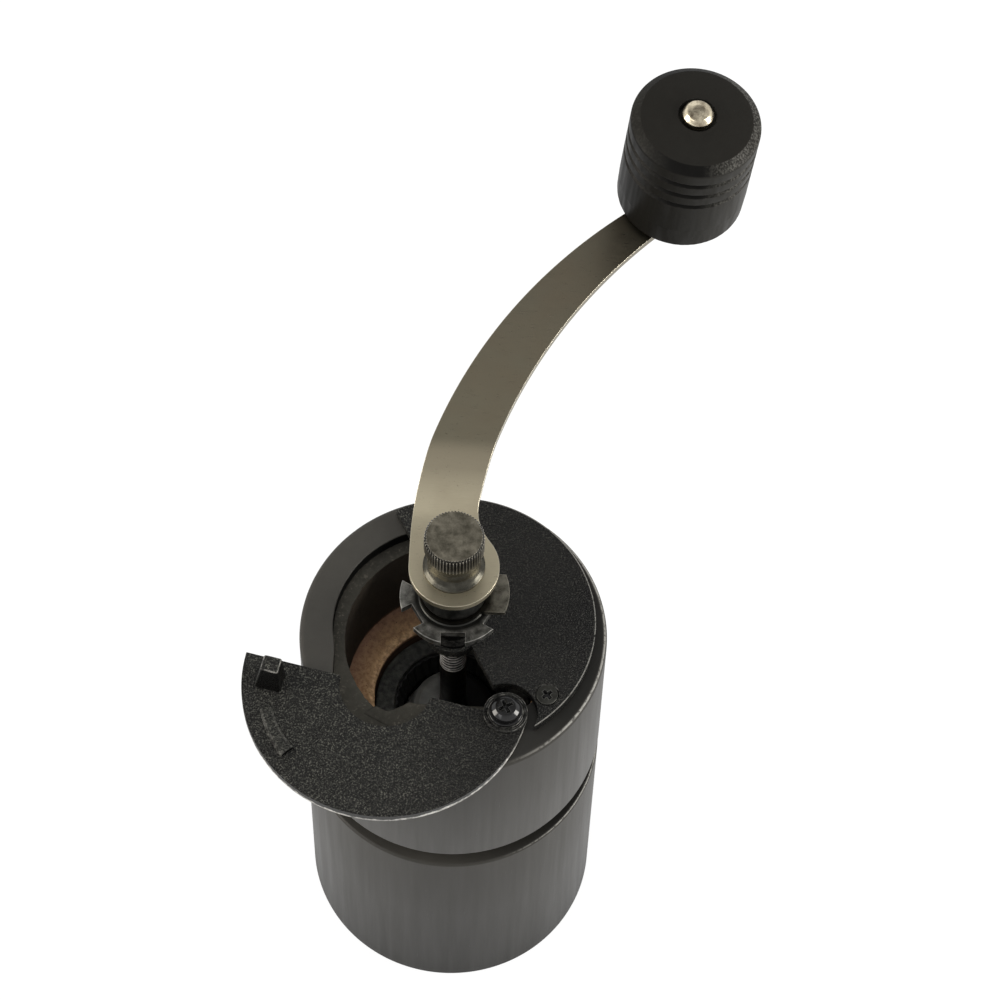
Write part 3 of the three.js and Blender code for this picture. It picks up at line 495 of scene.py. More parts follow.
def knob_painted_light_and_wear(s, middle):
    """A stained knob with painted light and shade: its upright faces paler to the right of its middle and
    darker to the left, and its rounded edge darker at front and back as painted shade and pale at the
    sides, most to the right, partly rubbed and partly painted sheen. Its sharp edges have pale chips.
    """
    # Painted light and shade: upright faces darker to the left of the knob's middle and a little paler to the
    # right.
    across = s.over("X", middle - 15, middle + 16)
    upright = s.span(s.rise(), 0.75, 0.35)
    pale = s.mix(s.times(upright, 0.01), s.tint, (1, 0.98, 0.9))
    s.tint = s.mix(across, s.mix(s.times(upright, 0.75), s.tint, (0, 0, 0)), pale)
    off = s.math("ABSOLUTE", s.math("SUBTRACT", s.axis("X"), middle * MM))
    sides, streaks = s.span(off, 4 * MM, 12 * MM), s.noise(0.5, 4, 0.65, s.stretched((1, 1, 0.4)))
    edge = s.slant()
    # Painted shade: the rounded edge darker at the front and back.
    s.coat(s.times(edge, s.span(sides, 0, 1, 0.8, 0)), (0.002, 0.002, 0.002))
    # Pale streaks on the rounded edge at the sides, more to the right: partly rubbed wood, partly painted
    # sheen.
    wear_and_painted_light = s.times(edge, sides, s.span(streaks, 0.45, 0.62), s.span(across, 0.3, 0.8, 0.15, 1), 0.8)
    s.coat(wear_and_painted_light, (0.075, 0.073, 0.066))
    s.coat(s.times(s.edges(0.45), s.span(streaks, 0.5, 0.6), 0.55), (0.09, 0.088, 0.08))


def stained_wood(name, tone, pore, shine, rough, middle=None):
    """Black stained wood with open pores along its height, under thin satin lacquer. It is the body's
    wood, or with middle the wood of a knob that stands there."""
    s = Shader(name)
    grain = s.stretched((1, 1, 0.05))
    fibre = s.noise(0.32, 4, 0.6, grain)
    pores = s.times(s.span(s.noise(0.42, 3, 0.6, grain), 0.68, 0.74), s.span(s.noise(8, 2), 0.48, 0.62))
    s.tint = s.mix(
        s.noise(3.0, 4, 0.6, grain), dim(tone, 0.038, 0.0355, 0.031), dim(tone, 0.05, 0.0475, 0.041))
    s.coat(s.span(fibre, 0.4, 0.75, 0, 0.2), dim(tone, 0.022, 0.0205, 0.018))
    s.coat(s.times(pores, pore), (0.004, 0.004, 0.0035))
    # Painted shade: darker towards the foot.
    s.coat(s.over("Z", 5, 80, 0.52, 0), (0.006, 0.006, 0.0055))
    if middle:
        knob_painted_light_and_wear(s, middle)
    else:
        painted_top_and_rim_light(s)
    relief = s.bump(fibre, 0.012, 0.35, s.bump(s.span(pores, 0, 1, 1, 0), 0.09, 0.8))
    roughness = s.span(s.noise(2.5, 4, 0.6, grain), 0.3, 0.7, *rough)
    # Less shine towards the foot too, with that painted shade.
    return s.finish(roughness, relief, s.over("Z", 5, 45, 0.05, shine))


def inner_shade_stain(name, chipped=True):
    """Dull wood, near black as painted shade, for the hopper's inner faces and the gap between the bodies.
    Where it is chipped, the ledge's floor is paler and has chips at its edge.
    """
    s = Shader(name)
    # Painted shade: near black.
    s.tint = s.mix(s.noise(2.2, 4, 0.6), (0.001, 0.001, 0.001), (0.003, 0.003, 0.0025))
    if chipped:
        pale = s.mix(s.noise(1.6, 4, 0.6), (0.016, 0.015, 0.012), (0.038, 0.036, 0.03))
        s.coat(s.over("Z", LEDGE_FLOOR + 0.4, LEDGE_FLOOR + 0.1), pale)
        chips = s.times(
            s.span(s.noise(0.9, 4, 0.65), 0.56, 0.64), s.span(s.noise(5, 2), 0.4, 0.6),
            s.over("Z", LEDGE_FLOOR + 1.2, LEDGE_FLOOR + 0.3, 0, 0.7))
        s.coat(chips, (0.075, 0.068, 0.056))
    return s.finish(0.7, s.bump(s.noise(0.5, 4, 0.65), 0.12, 0.8), 0.07)


def bare_wood(name):
    """The funnel's bare brown wood, dark with stain above and below its band."""
    s = Shader(name)
    ragged = s.math("ADD", s.axis("Z"), s.span(s.noise(1.6, 5, 0.65), 0, 1, -1.1 * MM, 1.1 * MM))
    # Painted light: the band paler towards its lower rim and darker up to its top.
    depth = s.span(ragged, (FUNNEL_FOOT - 0.3) * MM, (FUNNEL_TOP + 0.4) * MM)
    s.tint = s.ramp(depth, (0.0, (0.68, 0.44, 0.24)), (0.22, (0.4, 0.245, 0.125)), (0.6, (0.3, 0.178, 0.1)),
                    (1.0, (0.21, 0.118, 0.08)))
    s.coat(s.span(s.noise(1.1, 4, 0.65), 0.4, 0.62, 0, 0.6), (0.13, 0.072, 0.043))
    flecks = s.times(s.span(s.noise(0.45, 3, 0.6), 0.6, 0.68), s.span(s.noise(2.6, 2), 0.42, 0.6), 0.8)
    s.coat(flecks, (0.02, 0.011, 0.007))
    above = s.span(ragged, (FUNNEL_TOP - 0.2) * MM, (FUNNEL_TOP + 1.4) * MM, 0, 1, True)
    s.coat(above, s.mix(s.noise(1.2, 3, 0.6), (0.028, 0.023, 0.017), (0.055, 0.046, 0.035)))
    below = s.over("Z", FUNNEL_FOOT - 0.2, FUNNEL_FOOT - 2.6, 0, 1, True)
    s.coat(below, s.mix(s.noise(1.5, 3), (0.05, 0.03, 0.019), (0.1, 0.06, 0.036)))
    return s.finish(0.75, s.bump(s.noise(0.35, 4, 0.6), 0.1, 0.7), 0.2)


def powder_coat(name, tone, grit_and_glint, wear_and_painted_light, sheet=None, shine=0.16):
    """Black powder coat with a gritty skin: pale grains that are partly painted glints, pits painted
    darker as shade, and the whole painted darker to the right as shade. Painted highlights lie in
    rubbed-looking patches on its rounded edges, scaled by worn, and in spots along the right of the rim
    of a round sheet, given as its centre and radius."""
    s = Shader(name)
    grain, lumps = s.noise(0.44, 2, 0.5), s.noise(1.8, 3, 0.5)
    s.tint = s.mix(s.noise(14, 3), dim(tone, 0.0045, 0.0046, 0.004), dim(tone, 0.0072, 0.0073, 0.0064))
    # Pale grains in the coat, partly painted glints on its relief.
    s.coat(s.times(s.span(grain, 0.54, 0.64), s.span(lumps, 0.35, 0.65, 0.35, 1), 0.9), dim(grit_and_glint, 1, 1, 0.84))
    # Painted shade: the grain's pits darker.
    s.coat(s.span(grain, 0.5, 0.4, 0, 0.9), (0.001, 0.001, 0.0008))
    # Painted shade: darker to the right.
    s.coat(s.over("X", -14, 12, 0.04, 0.62), (0, 0, 0))
    # Painted highlight on rounded edges, in rubbed-looking patches.
    painted_edge_highlight = s.times(s.slant(), s.span(s.noise(1.6, 4, 0.65), 0.42, 0.62), wear_and_painted_light)
    if sheet:
        (x, y), size = sheet
        off = s.vector("DISTANCE", s.place, (x * MM, y * MM, PLATE_TOP * MM))["Value"]
        # Painted highlight: spots along the sheet's rim, on its right side.
        rim = s.times(
            s.span(off, (size - 0.3) * MM, (size - 0.2) * MM), s.over("X", 0, 20, 0, 0.7),
            s.over("Z", PLATE_TOP - 0.3, PLATE_TOP - 0.15), s.span(s.noise(2.5, 4, 0.6), 0.3, 0.42))
        painted_edge_highlight = s.math("MAXIMUM", painted_edge_highlight, rim)
    s.coat(painted_edge_highlight, (0.2, 0.195, 0.18))
    peel = s.math("ADD", s.span(grain, 0.35, 0.65), s.times(lumps, 0.6))
    return s.finish(s.span(grain, 0.3, 0.7, 0.56, 0.38), s.bump(peel, 0.2, 1.0), shine)


def worn_rim_and_highlight(name):
    """The lid's side faces: the coat above, and below it metal rubbed bare, the bare band reaching higher to
    the right as painted highlight.
    """
    s = Shader(name)
    patches = s.noise(1.6, 5, 0.65)
    height = s.math("SUBTRACT", s.axis("Z"), low("lid").z * MM)
    ragged = s.math("ADD", height, s.span(s.noise(2.2, 4, 0.6), 0.3, 0.7, -0.45 * MM, 0.45 * MM))
    # Painted highlight: the bare band reaches higher to the right.
    reach = s.over("X", -20, 22, 0.75 * MM, 1.5 * MM)
    bare = s.math("LESS_THAN", s.math("SUBTRACT", ragged, reach), 0.0)
    metal = s.ramp(patches, (0.34, (0.07, 0.07, 0.065)), (0.48, (0.22, 0.215, 0.2)), (0.62, (0.42, 0.41, 0.39)))
    s.tint = s.mix(s.noise(0.9, 4, 0.7), (0.001, 0.001, 0.001), (0.02, 0.02, 0.018))
    s.coat(bare, metal)
    return s.finish(0.5, s.bump(s.noise(0.5, 3), 0.06, 0.5), 0.3, s.times(bare, 0.2))


def tarnished_metal(name, light, dark, rough, edge=(0.75, 0.7, 0.58), depth=0.012, wear_and_painted_light=None, groove_shade=None,
                    metallic=1.0, black=None, painted_shade_right=None):
    """Plated or burnished steel with cloudy tarnish, fine scratches and edges made brighter by painted
    highlights. Within the distance worn from the axis it is black, painted shade, with no edge
    highlights there. root is a pair of distances from the axis, from the bottom of a thread's or
    knurl's groove, painted black as shade, to its bright crest. It is black below the height black,
    and painted black as shade to the right of oiled, a pair of places along X."""
    s = Shader(name)
    cloud, fine = s.noise(2.4, 5, 0.65, distortion=0.3), s.noise(0.3, 4, 0.6)
    s.tint = s.mix(s.span(cloud, 0.35, 0.65), dark, light)
    s.coat(s.span(fine, 0.5, 0.75, 0, 0.35), dim(0.5, *dark))
    # Painted highlight along sharp edges.
    bright = s.times(s.edges(0.3), 0.8)
    if wear_and_painted_light:
        # Painted shade: black within that distance from the axis, with no edge highlight there.
        outside = s.span(s.distance(), (wear_and_painted_light - 1.2) * MM, wear_and_painted_light * MM)
        s.tint = s.mix(outside, dim(0.3, *dark), s.tint)
        bright = s.times(bright, outside)
    if groove_shade:
        # Painted shade: black at the bottom of the groove.
        s.coat(s.span(s.distance(), groove_shade[1] * MM, groove_shade[0] * MM), (0.003, 0.003, 0.003))
    s.coat(bright, edge)
    if black:
        s.coat(s.over("Z", black + 0.4, black - 0.4), (0.0015, 0.0015, 0.0015))
    # Painted shade: black to the right.
    if painted_shade_right:
        s.coat(s.over("X", *painted_shade_right), (0.001, 0.001, 0.001))
    return s.finish(s.span(cloud, 0.3, 0.7, *rough), s.bump(fine, depth, 0.6), metallic=metallic)


def arm_metal(name):
    """The crank's warm nickel plate, its tone painted by place: bright at the hub and the ramp as painted
    light, darker towards the knob as painted shade.
    """
    s = Shader(name)
    start, end = RAMP
    along, cloud = s.axis("Y"), s.noise(14, 3, 0.5)
    brushed = s.noise(0.4, 4, 0.6, s.stretched((0.1, 1, 1)))
    # Painted light and shade: palest at the hub, fading up the ramp, and darker along the strip towards the
    # knob.
    edge = s.math("ADD", along, s.span(cloud, 0, 1, -1.2 * MM, 1.2 * MM))
    share = s.span(edge, (end - 4.5) * MM, (end - 0.5) * MM, 0, 1, True)
    ramp = s.mix(s.over("Y", start + 3, start + 13), (0.62, 0.555, 0.4), (0.33, 0.29, 0.21))
    strip = s.mix(s.over("Y", end, KNOB_FOOT.y), (0.275, 0.248, 0.178), (0.18, 0.16, 0.12))
    s.tint = s.mix(share, ramp, strip)
    s.coat(s.span(cloud, 0.45, 0.7, 0, 0.2), (0.24, 0.17, 0.11))
    s.coat(s.span(brushed, 0.5, 0.8, 0, 0.12), (0.2, 0.18, 0.13))
    spots = s.times(s.span(s.noise(0.8, 3, 0.6), 0.66, 0.7), s.span(s.noise(6, 2), 0.45, 0.65), 0.5)
    s.coat(spots, (0.09, 0.07, 0.045))
    # Painted highlight along sharp edges.
    s.coat(s.times(s.edges(0.3), 0.85), (0.85, 0.8, 0.67))
    return s.finish(s.span(brushed, 0.3, 0.7, 0.27, 0.35), s.bump(brushed, 0.004, 0.4), metallic=1.0)


def cast_metal(name):
    """Rough dark casting."""
    s = Shader(name)
    s.tint = s.mix(s.span(s.noise(1.6, 5, 0.65), 0.35, 0.65), (0.009, 0.009, 0.008), (0.05, 0.051, 0.042))
    return s.finish(0.62, s.bump(s.noise(0.7, 5, 0.65), 0.25, 0.8), metallic=0.1)


def black_zinc(name):
    """Black zinc plate, glossy, with painted highlights a little pale at its edges."""
    s = Shader(name)
    s.tint = s.mix(s.noise(1.2, 4, 0.6), (0.002, 0.002, 0.002), (0.008, 0.008, 0.008))
    # Painted highlight along sharp edges.
    s.coat(s.times(s.edges(0.15), 0.4), (0.2, 0.2, 0.19))
    return s.finish(0.13, s.bump(s.noise(0.5, 3), 0.02, 0.5), metallic=0.2)


BLACK_WOOD = stained_wood("black_wood", 0.6, 0.8, 0.16, (0.38, 0.45))
KNOB_WOOD = stained_wood("knob_wood", 0.26, 0.9, 0.04, (0.34, 0.46), KNOB_FOOT.x)
# Near-black wood as painted shade: inside the hopper, where the ledge's floor keeps a paler tone, and in the
# gap between the bodies.
INNER_WOOD_AND_SHADE = inner_shade_stain("inner_wood_and_shade")
REVEAL_SHADE = inner_shade_stain("reveal_shade_wood", False)
FUNNEL_WOOD = bare_wood("funnel_wood")
PLATE_COAT = powder_coat("plate_coat", 0.5, 0.07, 0.4, (PLATE_CENTRE, PLATE_RADIUS))
LID_COAT = powder_coat("lid_coat", 1.0, 0.068, 0.7)
# Painted light: a paler copy of the lid's coat for the rib's top.
RIB_LIT_COAT = powder_coat("rib_lit_coat", 2.2, 0.07, 0.2)
SHADE_COAT = powder_coat("shade_coat", 0.15, 0.008, 0.6, shine=0.08)
RIM = worn_rim_and_highlight("worn_rim_and_highlight")
ARM = arm_metal("arm_nickel")
STEEL = tarnished_metal("burnished_steel", (0.24, 0.225, 0.19), (0.1, 0.095, 0.08), (0.26, 0.42))
# Painted shade: black in the thread's grooves.
SHAFT_STEEL = tarnished_metal(
    "shaft_steel", (0.6, 0.575, 0.55), (0.24, 0.232, 0.224), (0.3, 0.45), groove_shade=(3.2, 3.5), metallic=0.4,
    black=BUSH_LOW - THREAD_DROP)
# Painted shade: black near the shaft, under the crank's ring.
LOCK_STEEL = tarnished_metal("lock_steel", (0.24, 0.225, 0.185), (0.1, 0.094, 0.075), (0.26, 0.4), wear_and_painted_light=10.6)
NICKEL = tarnished_metal("antique_nickel", (0.76, 0.68, 0.51), (0.22, 0.18, 0.125), (0.16, 0.3))
# Painted shade: black near the shaft, under the crank's ring.
WHEEL_STEEL = tarnished_metal(
    "wheel_steel", (0.3, 0.295, 0.275), (0.085, 0.085, 0.078), (0.3, 0.45), edge=(0.7, 0.69, 0.65), wear_and_painted_light=10.9)
# Painted shade: a near-black copy of the steel for the seat cone under the crank's ring.
HUB_SHADE_STEEL = tarnished_metal(
    "hub_shade_steel", (0.035, 0.035, 0.031), (0.012, 0.012, 0.011), (0.3, 0.45), edge=(0.04, 0.04, 0.037))
NUT_TOP_STEEL = tarnished_metal("nut_top_steel", (0.22, 0.202, 0.159), (0.1, 0.091, 0.069), (0.34, 0.5))
# Painted shade: black in the knurls' grooves.
KNURL_STEEL = tarnished_metal(
    "knurl_steel", (0.14, 0.13, 0.104), (0.075, 0.069, 0.055), (0.3, 0.42), edge=(0.5, 0.47, 0.4),
    groove_shade=(7.22, 7.56))
COLLAR_STEEL = tarnished_metal(
    "collar_steel", (0.064, 0.061, 0.05), (0.036, 0.034, 0.028), (0.24, 0.32), edge=(0.2, 0.19, 0.165))
SCREW = black_zinc("black_zinc")
GREY_SCREW = tarnished_metal(
    "grey_screw", (0.06, 0.06, 0.054), (0.025, 0.025, 0.022), (0.35, 0.5), edge=(0.3, 0.3, 0.28))
# Black, and darker still as painted shade under the star wheel; also on the lid rib's end face.
BUSH_AND_SHADE = powder_coat("bush_black_and_shade", 0.08, 0.003, 0.05, shine=0.04)
IRON = cast_metal("cast_iron")
# Painted shade: black to the right of the axis.
BURR = tarnished_metal(
    "burr_steel", (0.11, 0.108, 0.098), (0.075, 0.074, 0.066), (0.4, 0.55), edge=(0.1, 0.1, 0.09),
    depth=0.03, metallic=0.15, painted_shade_right=(-5, 0))
OUTER_BURR = tarnished_metal(
    "outer_burr_steel", (0.02, 0.02, 0.018), (0.008, 0.008, 0.007), (0.5, 0.6), edge=(0.02, 0.02, 0.018),
    metallic=0.3)
BRONZE = tarnished_metal("oiled_bronze", (0.45, 0.27, 0.11), (0.22, 0.12, 0.05), (0.25, 0.4))
SPRING = tarnished_metal("spring_steel", (0.5, 0.5, 0.48), (0.3, 0.3, 0.29), (0.2, 0.34))


# Pieces


def make_cup():
    """The grounds cup: a turned pot with a shallow dished foot."""
    inner, socket, depth, bottom = 31.0, BODY_RADIUS - 5.0, 12.0, 8.0
    piece = turned("cup_shell", eased([
        (0, 0.35), (inner - 1, 0.35, 0.5), (inner, 0.0, 0.5), (BODY_RADIUS, 0.0, 1.6),
        (BODY_RADIUS, CUP_TOP, 0.9), (socket, CUP_TOP, 0.6), (socket, CUP_TOP - depth, 0.3),
        (inner, CUP_TOP - depth, 0.6), (inner, bottom, 3.0), (0, bottom)]), FINE)
    dress(smooth(piece, 50), "cup", "black_wood", "grounds_cup", BLACK_WOOD)


def eased_step(value, start, end):
    """0 up to start, 1 from end, and smooth between."""
    share = min(max((value - start) / (end - start), 0), 1)
    return share * share * (3 - 2 * share)


def ledge_reach(angle):
    """How far the eccentric ledge's wall is from the axis: no less than the bore, and more in the
    bay that shows in the lid's notch."""
    offset = math.hypot(*LEDGE_CENTRE)
    turn = angle - math.atan2(LEDGE_CENTRE[1], LEDGE_CENTRE[0])
    reach = offset * math.cos(turn) + math.sqrt(LEDGE_RADIUS**2 - (offset * math.sin(turn)) ** 2)
    azimuth = math.degrees(angle) % 360
    rise, fall = eased_step(azimuth, 186, 222), eased_step(azimuth, 262, 234)
    return max(reach, HOPPER_BORE + 0.05) + LEDGE_BAY * rise * fall


def hopper_skin(angle, size, height):
    """The hopper's inner surfaces: the ledge's wall off centre, and chipped wood at its edges."""
    if size >= SPIGOT_RADIUS:
        return size
    around = Vector((5 * math.cos(angle), 5 * math.sin(angle), height * 0.4))
    if size > HOPPER_BORE + 0.3 and height > LEDGE_FLOOR - 0.1:
        return ledge_reach(angle) + size - LEDGE_RADIUS + 0.07 * noise.noise(around * 2.3)
    if abs(height - LEDGE_FLOOR) < 1.3 and size > THROAT_RADIUS + 2:
        rough = noise.noise(around * 1.7) + 0.7 * noise.noise(around * 4.1)
        return size + 0.32 * max(rough, -0.15)
    if THROAT_RADIUS - 0.1 < size < HOPPER_BORE - 0.1 and height > SHOULDER + 1:
        return size + 0.1 * noise.noise(around * 1.9)
    return size


# The wood beside the pivot's post that carries on the ledge's floor, in plan
WEB = [(-22.5, -22.0), (-19.4, -19.7), (-16.5, -21.1), (-14.8, -20.7), (-13.2, -19.8), (-10.5, -18.3),
       (-9.0, -18.7), (-7.35, -18.8), (12.0, -19.0), (14.0, -26.5), (0, -30.0), (-14, -26.5)]


def make_hopper():
    """The upper body: spigot, pocket, throat, funnel, chamber and the ledge round the mouth."""
    bottom, shell, floor, foot = low("hopper_body").z, CUP_TOP + REVEAL, LEDGE_FLOOR, FUNNEL_FOOT
    shape = turned("hopper_shell", eased([
        (POCKET_RADIUS, bottom), (SPIGOT_RADIUS, bottom, 0.6), (SPIGOT_RADIUS, shell, 0.4),
        (BODY_RADIUS, shell, 0.7), (BODY_RADIUS, BODY_TOP, 1.5), (LEDGE_RADIUS, BODY_TOP, 0.35),
        (LEDGE_RADIUS, floor), (HOPPER_BORE + 0.5, floor), (HOPPER_BORE, floor - 0.5),
        (HOPPER_BORE, floor - 1.5), (HOPPER_BORE, FUNNEL_TOP), (THROAT_RADIUS + 0.6, foot, 0.3),
        (THROAT_RADIUS, foot - 0.7, 0.3), (THROAT_RADIUS, SHOULDER), (POCKET_RADIUS, SHOULDER),
        (POCKET_RADIUS, bottom)]), FINE, hopper_skin, closed=True)
    post = drum("post", POST_RADIUS, foot - 2, BODY_TOP - 0.02, PIVOT.xy, 64)
    combine(post, [drum("keep", BODY_RADIUS - 3, foot - 3, BODY_TOP + 1, around=SMALL)], "INTERSECT")
    web = bevelled(slab("web", WEB, floor - 5, floor - 0.02), 0.4)
    piece = smooth(join("hopper_body_wood", [shape, post, web]), 40)
    dress(piece, "mill", "black_wood", "hopper_body", BLACK_WOOD, FUNNEL_WOOD, INNER_WOOD_AND_SHADE, REVEAL_SHADE)
    mouth, bare, inner, reveal_shade = BODY_RADIUS - 2.5, 1, 2, 3

    # Beside the pivot's post, even the funnel's bare band takes the near-black wood, as does the post: painted
    # shade.
    def by_post(c):
        beside = c.x > 12 and -28.3 < c.y < -14 and c.xy.length < mouth and foot + 1.5 < c.z < BODY_TOP - 0.3
        return beside or (c.xy - PIVOT.xy).length < POST_RADIUS + CLEAR and foot + 3 < c.z < BODY_TOP - 0.01

    # Painted shade: the ledge's walls near black; its floor keeps a paler tone.
    paint(piece, inner, lambda c, n: c.xy.length < mouth and floor - 1.6 < c.z < BODY_TOP - 0.25)
    paint(piece, bare, lambda c, n: c.xy.length < HOPPER_BORE + 0.7 and c.z < floor - 0.4)
    paint(piece, inner, lambda c, n: by_post(c))
    # Painted shade: the spigot and the step over it, in the gap between the bodies, near black.
    paint(piece, reveal_shade, lambda c, n: c.xy.length > SPIGOT_RADIUS - 1 and CUP_TOP - 12 < c.z < shell + 0.1)
    # The web under the ledge's floor in the same near-black wood, as painted shade.
    paint(piece, inner, lambda c, n: c.xy.length < HOPPER_BORE - 0.2 and floor - 5.1 < c.z < floor)


def plate_screw_places():
    along, normal = polar(1, PLATE_AZIMUTH), polar(1, PLATE_AZIMUTH - 90)
    return [normal * SCREW_INSET + along * side * SCREW_SPREAD for side in (-1, 1)]


def make_plate():
    """The D-shaped top plate with the shaft's eye and the round cut-out for the lid's boss."""
    piece = drum("plate_sheet", PLATE_RADIUS, PLATE_LOW, PLATE_TOP, PLATE_CENTRE, FINE)
    middle, past = (PLATE_LOW + PLATE_TOP) / 2, (PLATE_LOW - 1, PLATE_TOP + 1)
    half = box_object("half", (PLATE_EDGE + 50, 0, middle), (100, 200, 9), PLATE_AZIMUTH - 90)
    combine(piece, [half], "INTERSECT")
    combine(piece, [drum("eye", EYE_RADIUS, PLATE_LOW, PLATE_TOP, around=FINE)], "UNION")
    cutters = [drum("bore", radius("upper_bush") - 1.0, *past), drum("cut", PIVOT_CUT, *past, PIVOT.xy)]
    for spot in plate_screw_places():
        sink = turned("sink", [
            (0, PLATE_LOW - 1), (1.8, PLATE_LOW - 1), (1.8, PLATE_TOP - 1.9),
            (SCREW_HEAD + CLEAR, PLATE_TOP - 0.3), (SCREW_HEAD + CLEAR, PLATE_TOP + 1), (0, PLATE_TOP + 1)], 64)
        cutters.append(move(sink, spot))
    combine(piece, cutters, "DIFFERENCE")
    dress(polished(bevelled(piece, 0.3)), "mill", "powder_coat", "top_plate", PLATE_COAT)


def make_lid():
    """The swing lid, made about its own centre with its tip towards +X, then swung to its place."""
    bottom = low("lid").z
    top = bottom + LID_THICKNESS
    pivot = Vector((-LID_REACH, LID_INSET))
    piece = drum("lid_sheet", LID_RADIUS, bottom, top, around=FINE)
    combine(piece, [box_object("half", (0, LID_EDGE + 50, bottom), (200, 100, 20))], "INTERSECT")
    combine(piece, [
        drum("notch", LID_NOTCH, bottom - 1, top + 1, around=FINE),
        drum("hole", 2.3, bottom - 1, top + 1, pivot, 64)], "DIFFERENCE")
    parts = [bevelled(piece, 0.25), lid_boss(pivot, top), lid_lug(top), lid_rib(top)]
    swing = PIVOT.xy - Matrix.Rotation(math.radians(LID_ANGLE), 2) @ pivot
    merged = polished(move(join("lid_leaf", parts), swing, LID_ANGLE), 40)
    dress(merged, "lid", "powder_coat", "lid", LID_COAT, RIM, RIB_LIT_COAT, SHADE_COAT, BUSH_AND_SHADE)

    def home(centre):
        """The place in plan before the swing."""
        return Matrix.Rotation(math.radians(-LID_ANGLE), 2) @ (centre.xy - PIVOT.xy) + pivot

    def on_rib(c):
        spot = home(c)
        return 28 < spot.length < 34.6 and math.atan2(spot.y, spot.x) > math.radians(25)

    def in_lug_shade(c, n):
        return c.z > top + 0.1 and n.z < 0.5 and (home(c) - Vector((29, 7))).length < 6 and n.x - n.y > 0.35

    rib_end = polar(1, LID_ANGLE + 143).to_3d()
    rim, rib, shade, open_end_shade = 1, 2, 3, 4
    # The side faces: metal rubbed bare below, with painted highlight to the right.
    paint(merged, rim, lambda c, n: c.z < top - 0.3 and abs(n.z) < 0.95)
    # Painted light: the rib's top in the paler coat.
    paint(merged, rib, lambda c, n: c.z > top + 0.01 and on_rib(c))
    # Painted shade: the rib's end face black, as if open.
    paint(merged, open_end_shade, lambda c, n: top - 2 < c.z < top + 2 and on_rib(c) and n.dot(rib_end) > 0.8)
    paint(merged, shade, in_lug_shade)


def lid_boss(pivot, top):
    """Raised boss round the pivot, with a ring groove."""
    rise, hole = top + BOSS_RISE, 2.3
    boss = turned("boss", eased([
        (hole, top - 1.5), (BOSS_RADIUS, top - 1.5), (BOSS_RADIUS, rise, 0.4), (5.1, rise, 0.15),
        (4.9, rise - 0.3, 0.1), (4.6, rise - 0.3, 0.1), (4.45, rise, 0.15), (hole, rise),
        (hole, top - 1.5)]), SMALL)
    return move(boss, pivot)


def lid_lug(top):
    """Finger lug: a block that narrows upwards, with soft edges."""
    lug = block("lug", (top - 1.2, 7.2, 5.6, -0.2, 0), (top + 9.4, 4.7, 4.4, -0.9, -0.4))
    return move(bevelled(lug, 0.55, 4, 30), (29.4, 7.0, 0))


def lid_rib(top):
    """Raised rib of the pressing, higher towards its far end, whose closed end face make_lid paints black as
    painted shade.
    """
    start, end, middle, rise, steps, across = 28, 53, 31.6, 1.25, 24, 8
    points = []
    for i in range(steps + 1):
        share = i / steps
        azimuth, lift, width = start + (end - start) * share, rise * (0.35 + 0.65 * share), 3.0 + 1.4 * share
        sides = [2 * j / across - 1 for j in range(across + 1)]
        section = [(side, lift * (1 - abs(side) ** 4) + 0.02) for side in sides] + [(1, -0.8), (-1, -0.8)]
        points += [(*polar(middle + side * width / 2, azimuth), top + crown) for side, crown in section]
    row = across + 3
    faces = []
    for i in range(steps):
        for j in range(row):
            a, b = i * row + j, i * row + (j + 1) % row
            faces.append((a, b, b + row, a + row))
    faces += [tuple(range(row - 1, -1, -1)), tuple(range(steps * row, steps * row + row))]
    return face_outwards(mesh_object("rib", points, faces))


def cross_recess(head_top, depth, reach, turn):
    """Cutters of the four-winged recess in a screw's head."""
    levels = [(z, 2 * reach * share, 0.7 + 0.3 * share, 0, 0)
              for z, share in ((head_top - depth, 0.35), (head_top + 0.5, 1.05))]
    return [move(block("wing", *levels), turn=turn + 90 * i) for i in range(2)]


def make_screws():
    """The plate's countersunk screws and the lid's pan-head pivot screw with its washer."""
    for number, spot in enumerate(plate_screw_places(), 1):
        head, bottom = PLATE_TOP - 0.1, low("plate_screw_1").z
        piece = turned(f"plate_fixing_{number}", eased([
            (0, bottom), (1.5, bottom + 1.5), (1.5, head - 1.7), (SCREW_HEAD - 0.1, head - 0.25, 0.1),
            (SCREW_HEAD - 0.3, head - 0.05, 0.1), (0, head)]), 64)
        combine(piece, cross_recess(head, 1.2, 1.8, 40), "DIFFERENCE")
        move(polished(bevelled(piece, 0.08, 2)), spot)
        dress(piece, "mill", "black_screw", f"plate_screw_{number}", GREY_SCREW, SCREW)
        paint(piece, 1, lambda c, n: n.z < 0.7 or c.z < head - 0.15)
    bottom, top, size = low("lid_pivot_screw").z, high("lid_pivot_screw").z, 3.7
    piece = turned("pivot_fixing", eased([
        (0, bottom), (2.0, bottom + 2), (2.0, top - 2.6), (size, top - 2.6, 0.15), (size, top - 1.2, 0.5),
        (2.6, top - 0.15, 0.9), (0, top)]), SMALL)
    combine(piece, cross_recess(top, 1.7, 2.35, 28), "DIFFERENCE")
    move(polished(bevelled(piece, 0.1, 2)), PIVOT.xy)
    dress(piece, "mill", "black_screw", "lid_pivot_screw", SCREW)
    bottom, top, bore, size = low("lid_washer").z, high("lid_washer").z, 2.15, 4.3
    washer = turned("pivot_washer", eased([
        (bore, bottom), (size, bottom, 0.12), (size, top, 0.2), (bore, top, 0.1), (bore, bottom)]), SMALL)
    dress(move(smooth(washer), PIVOT.xy), "mill", "black_screw", "lid_washer", SCREW)


def threaded(height):
    return BUSH_LOW - THREAD_DROP < height < BUSH_LOW + 2 or height > NUT_LOW - 2


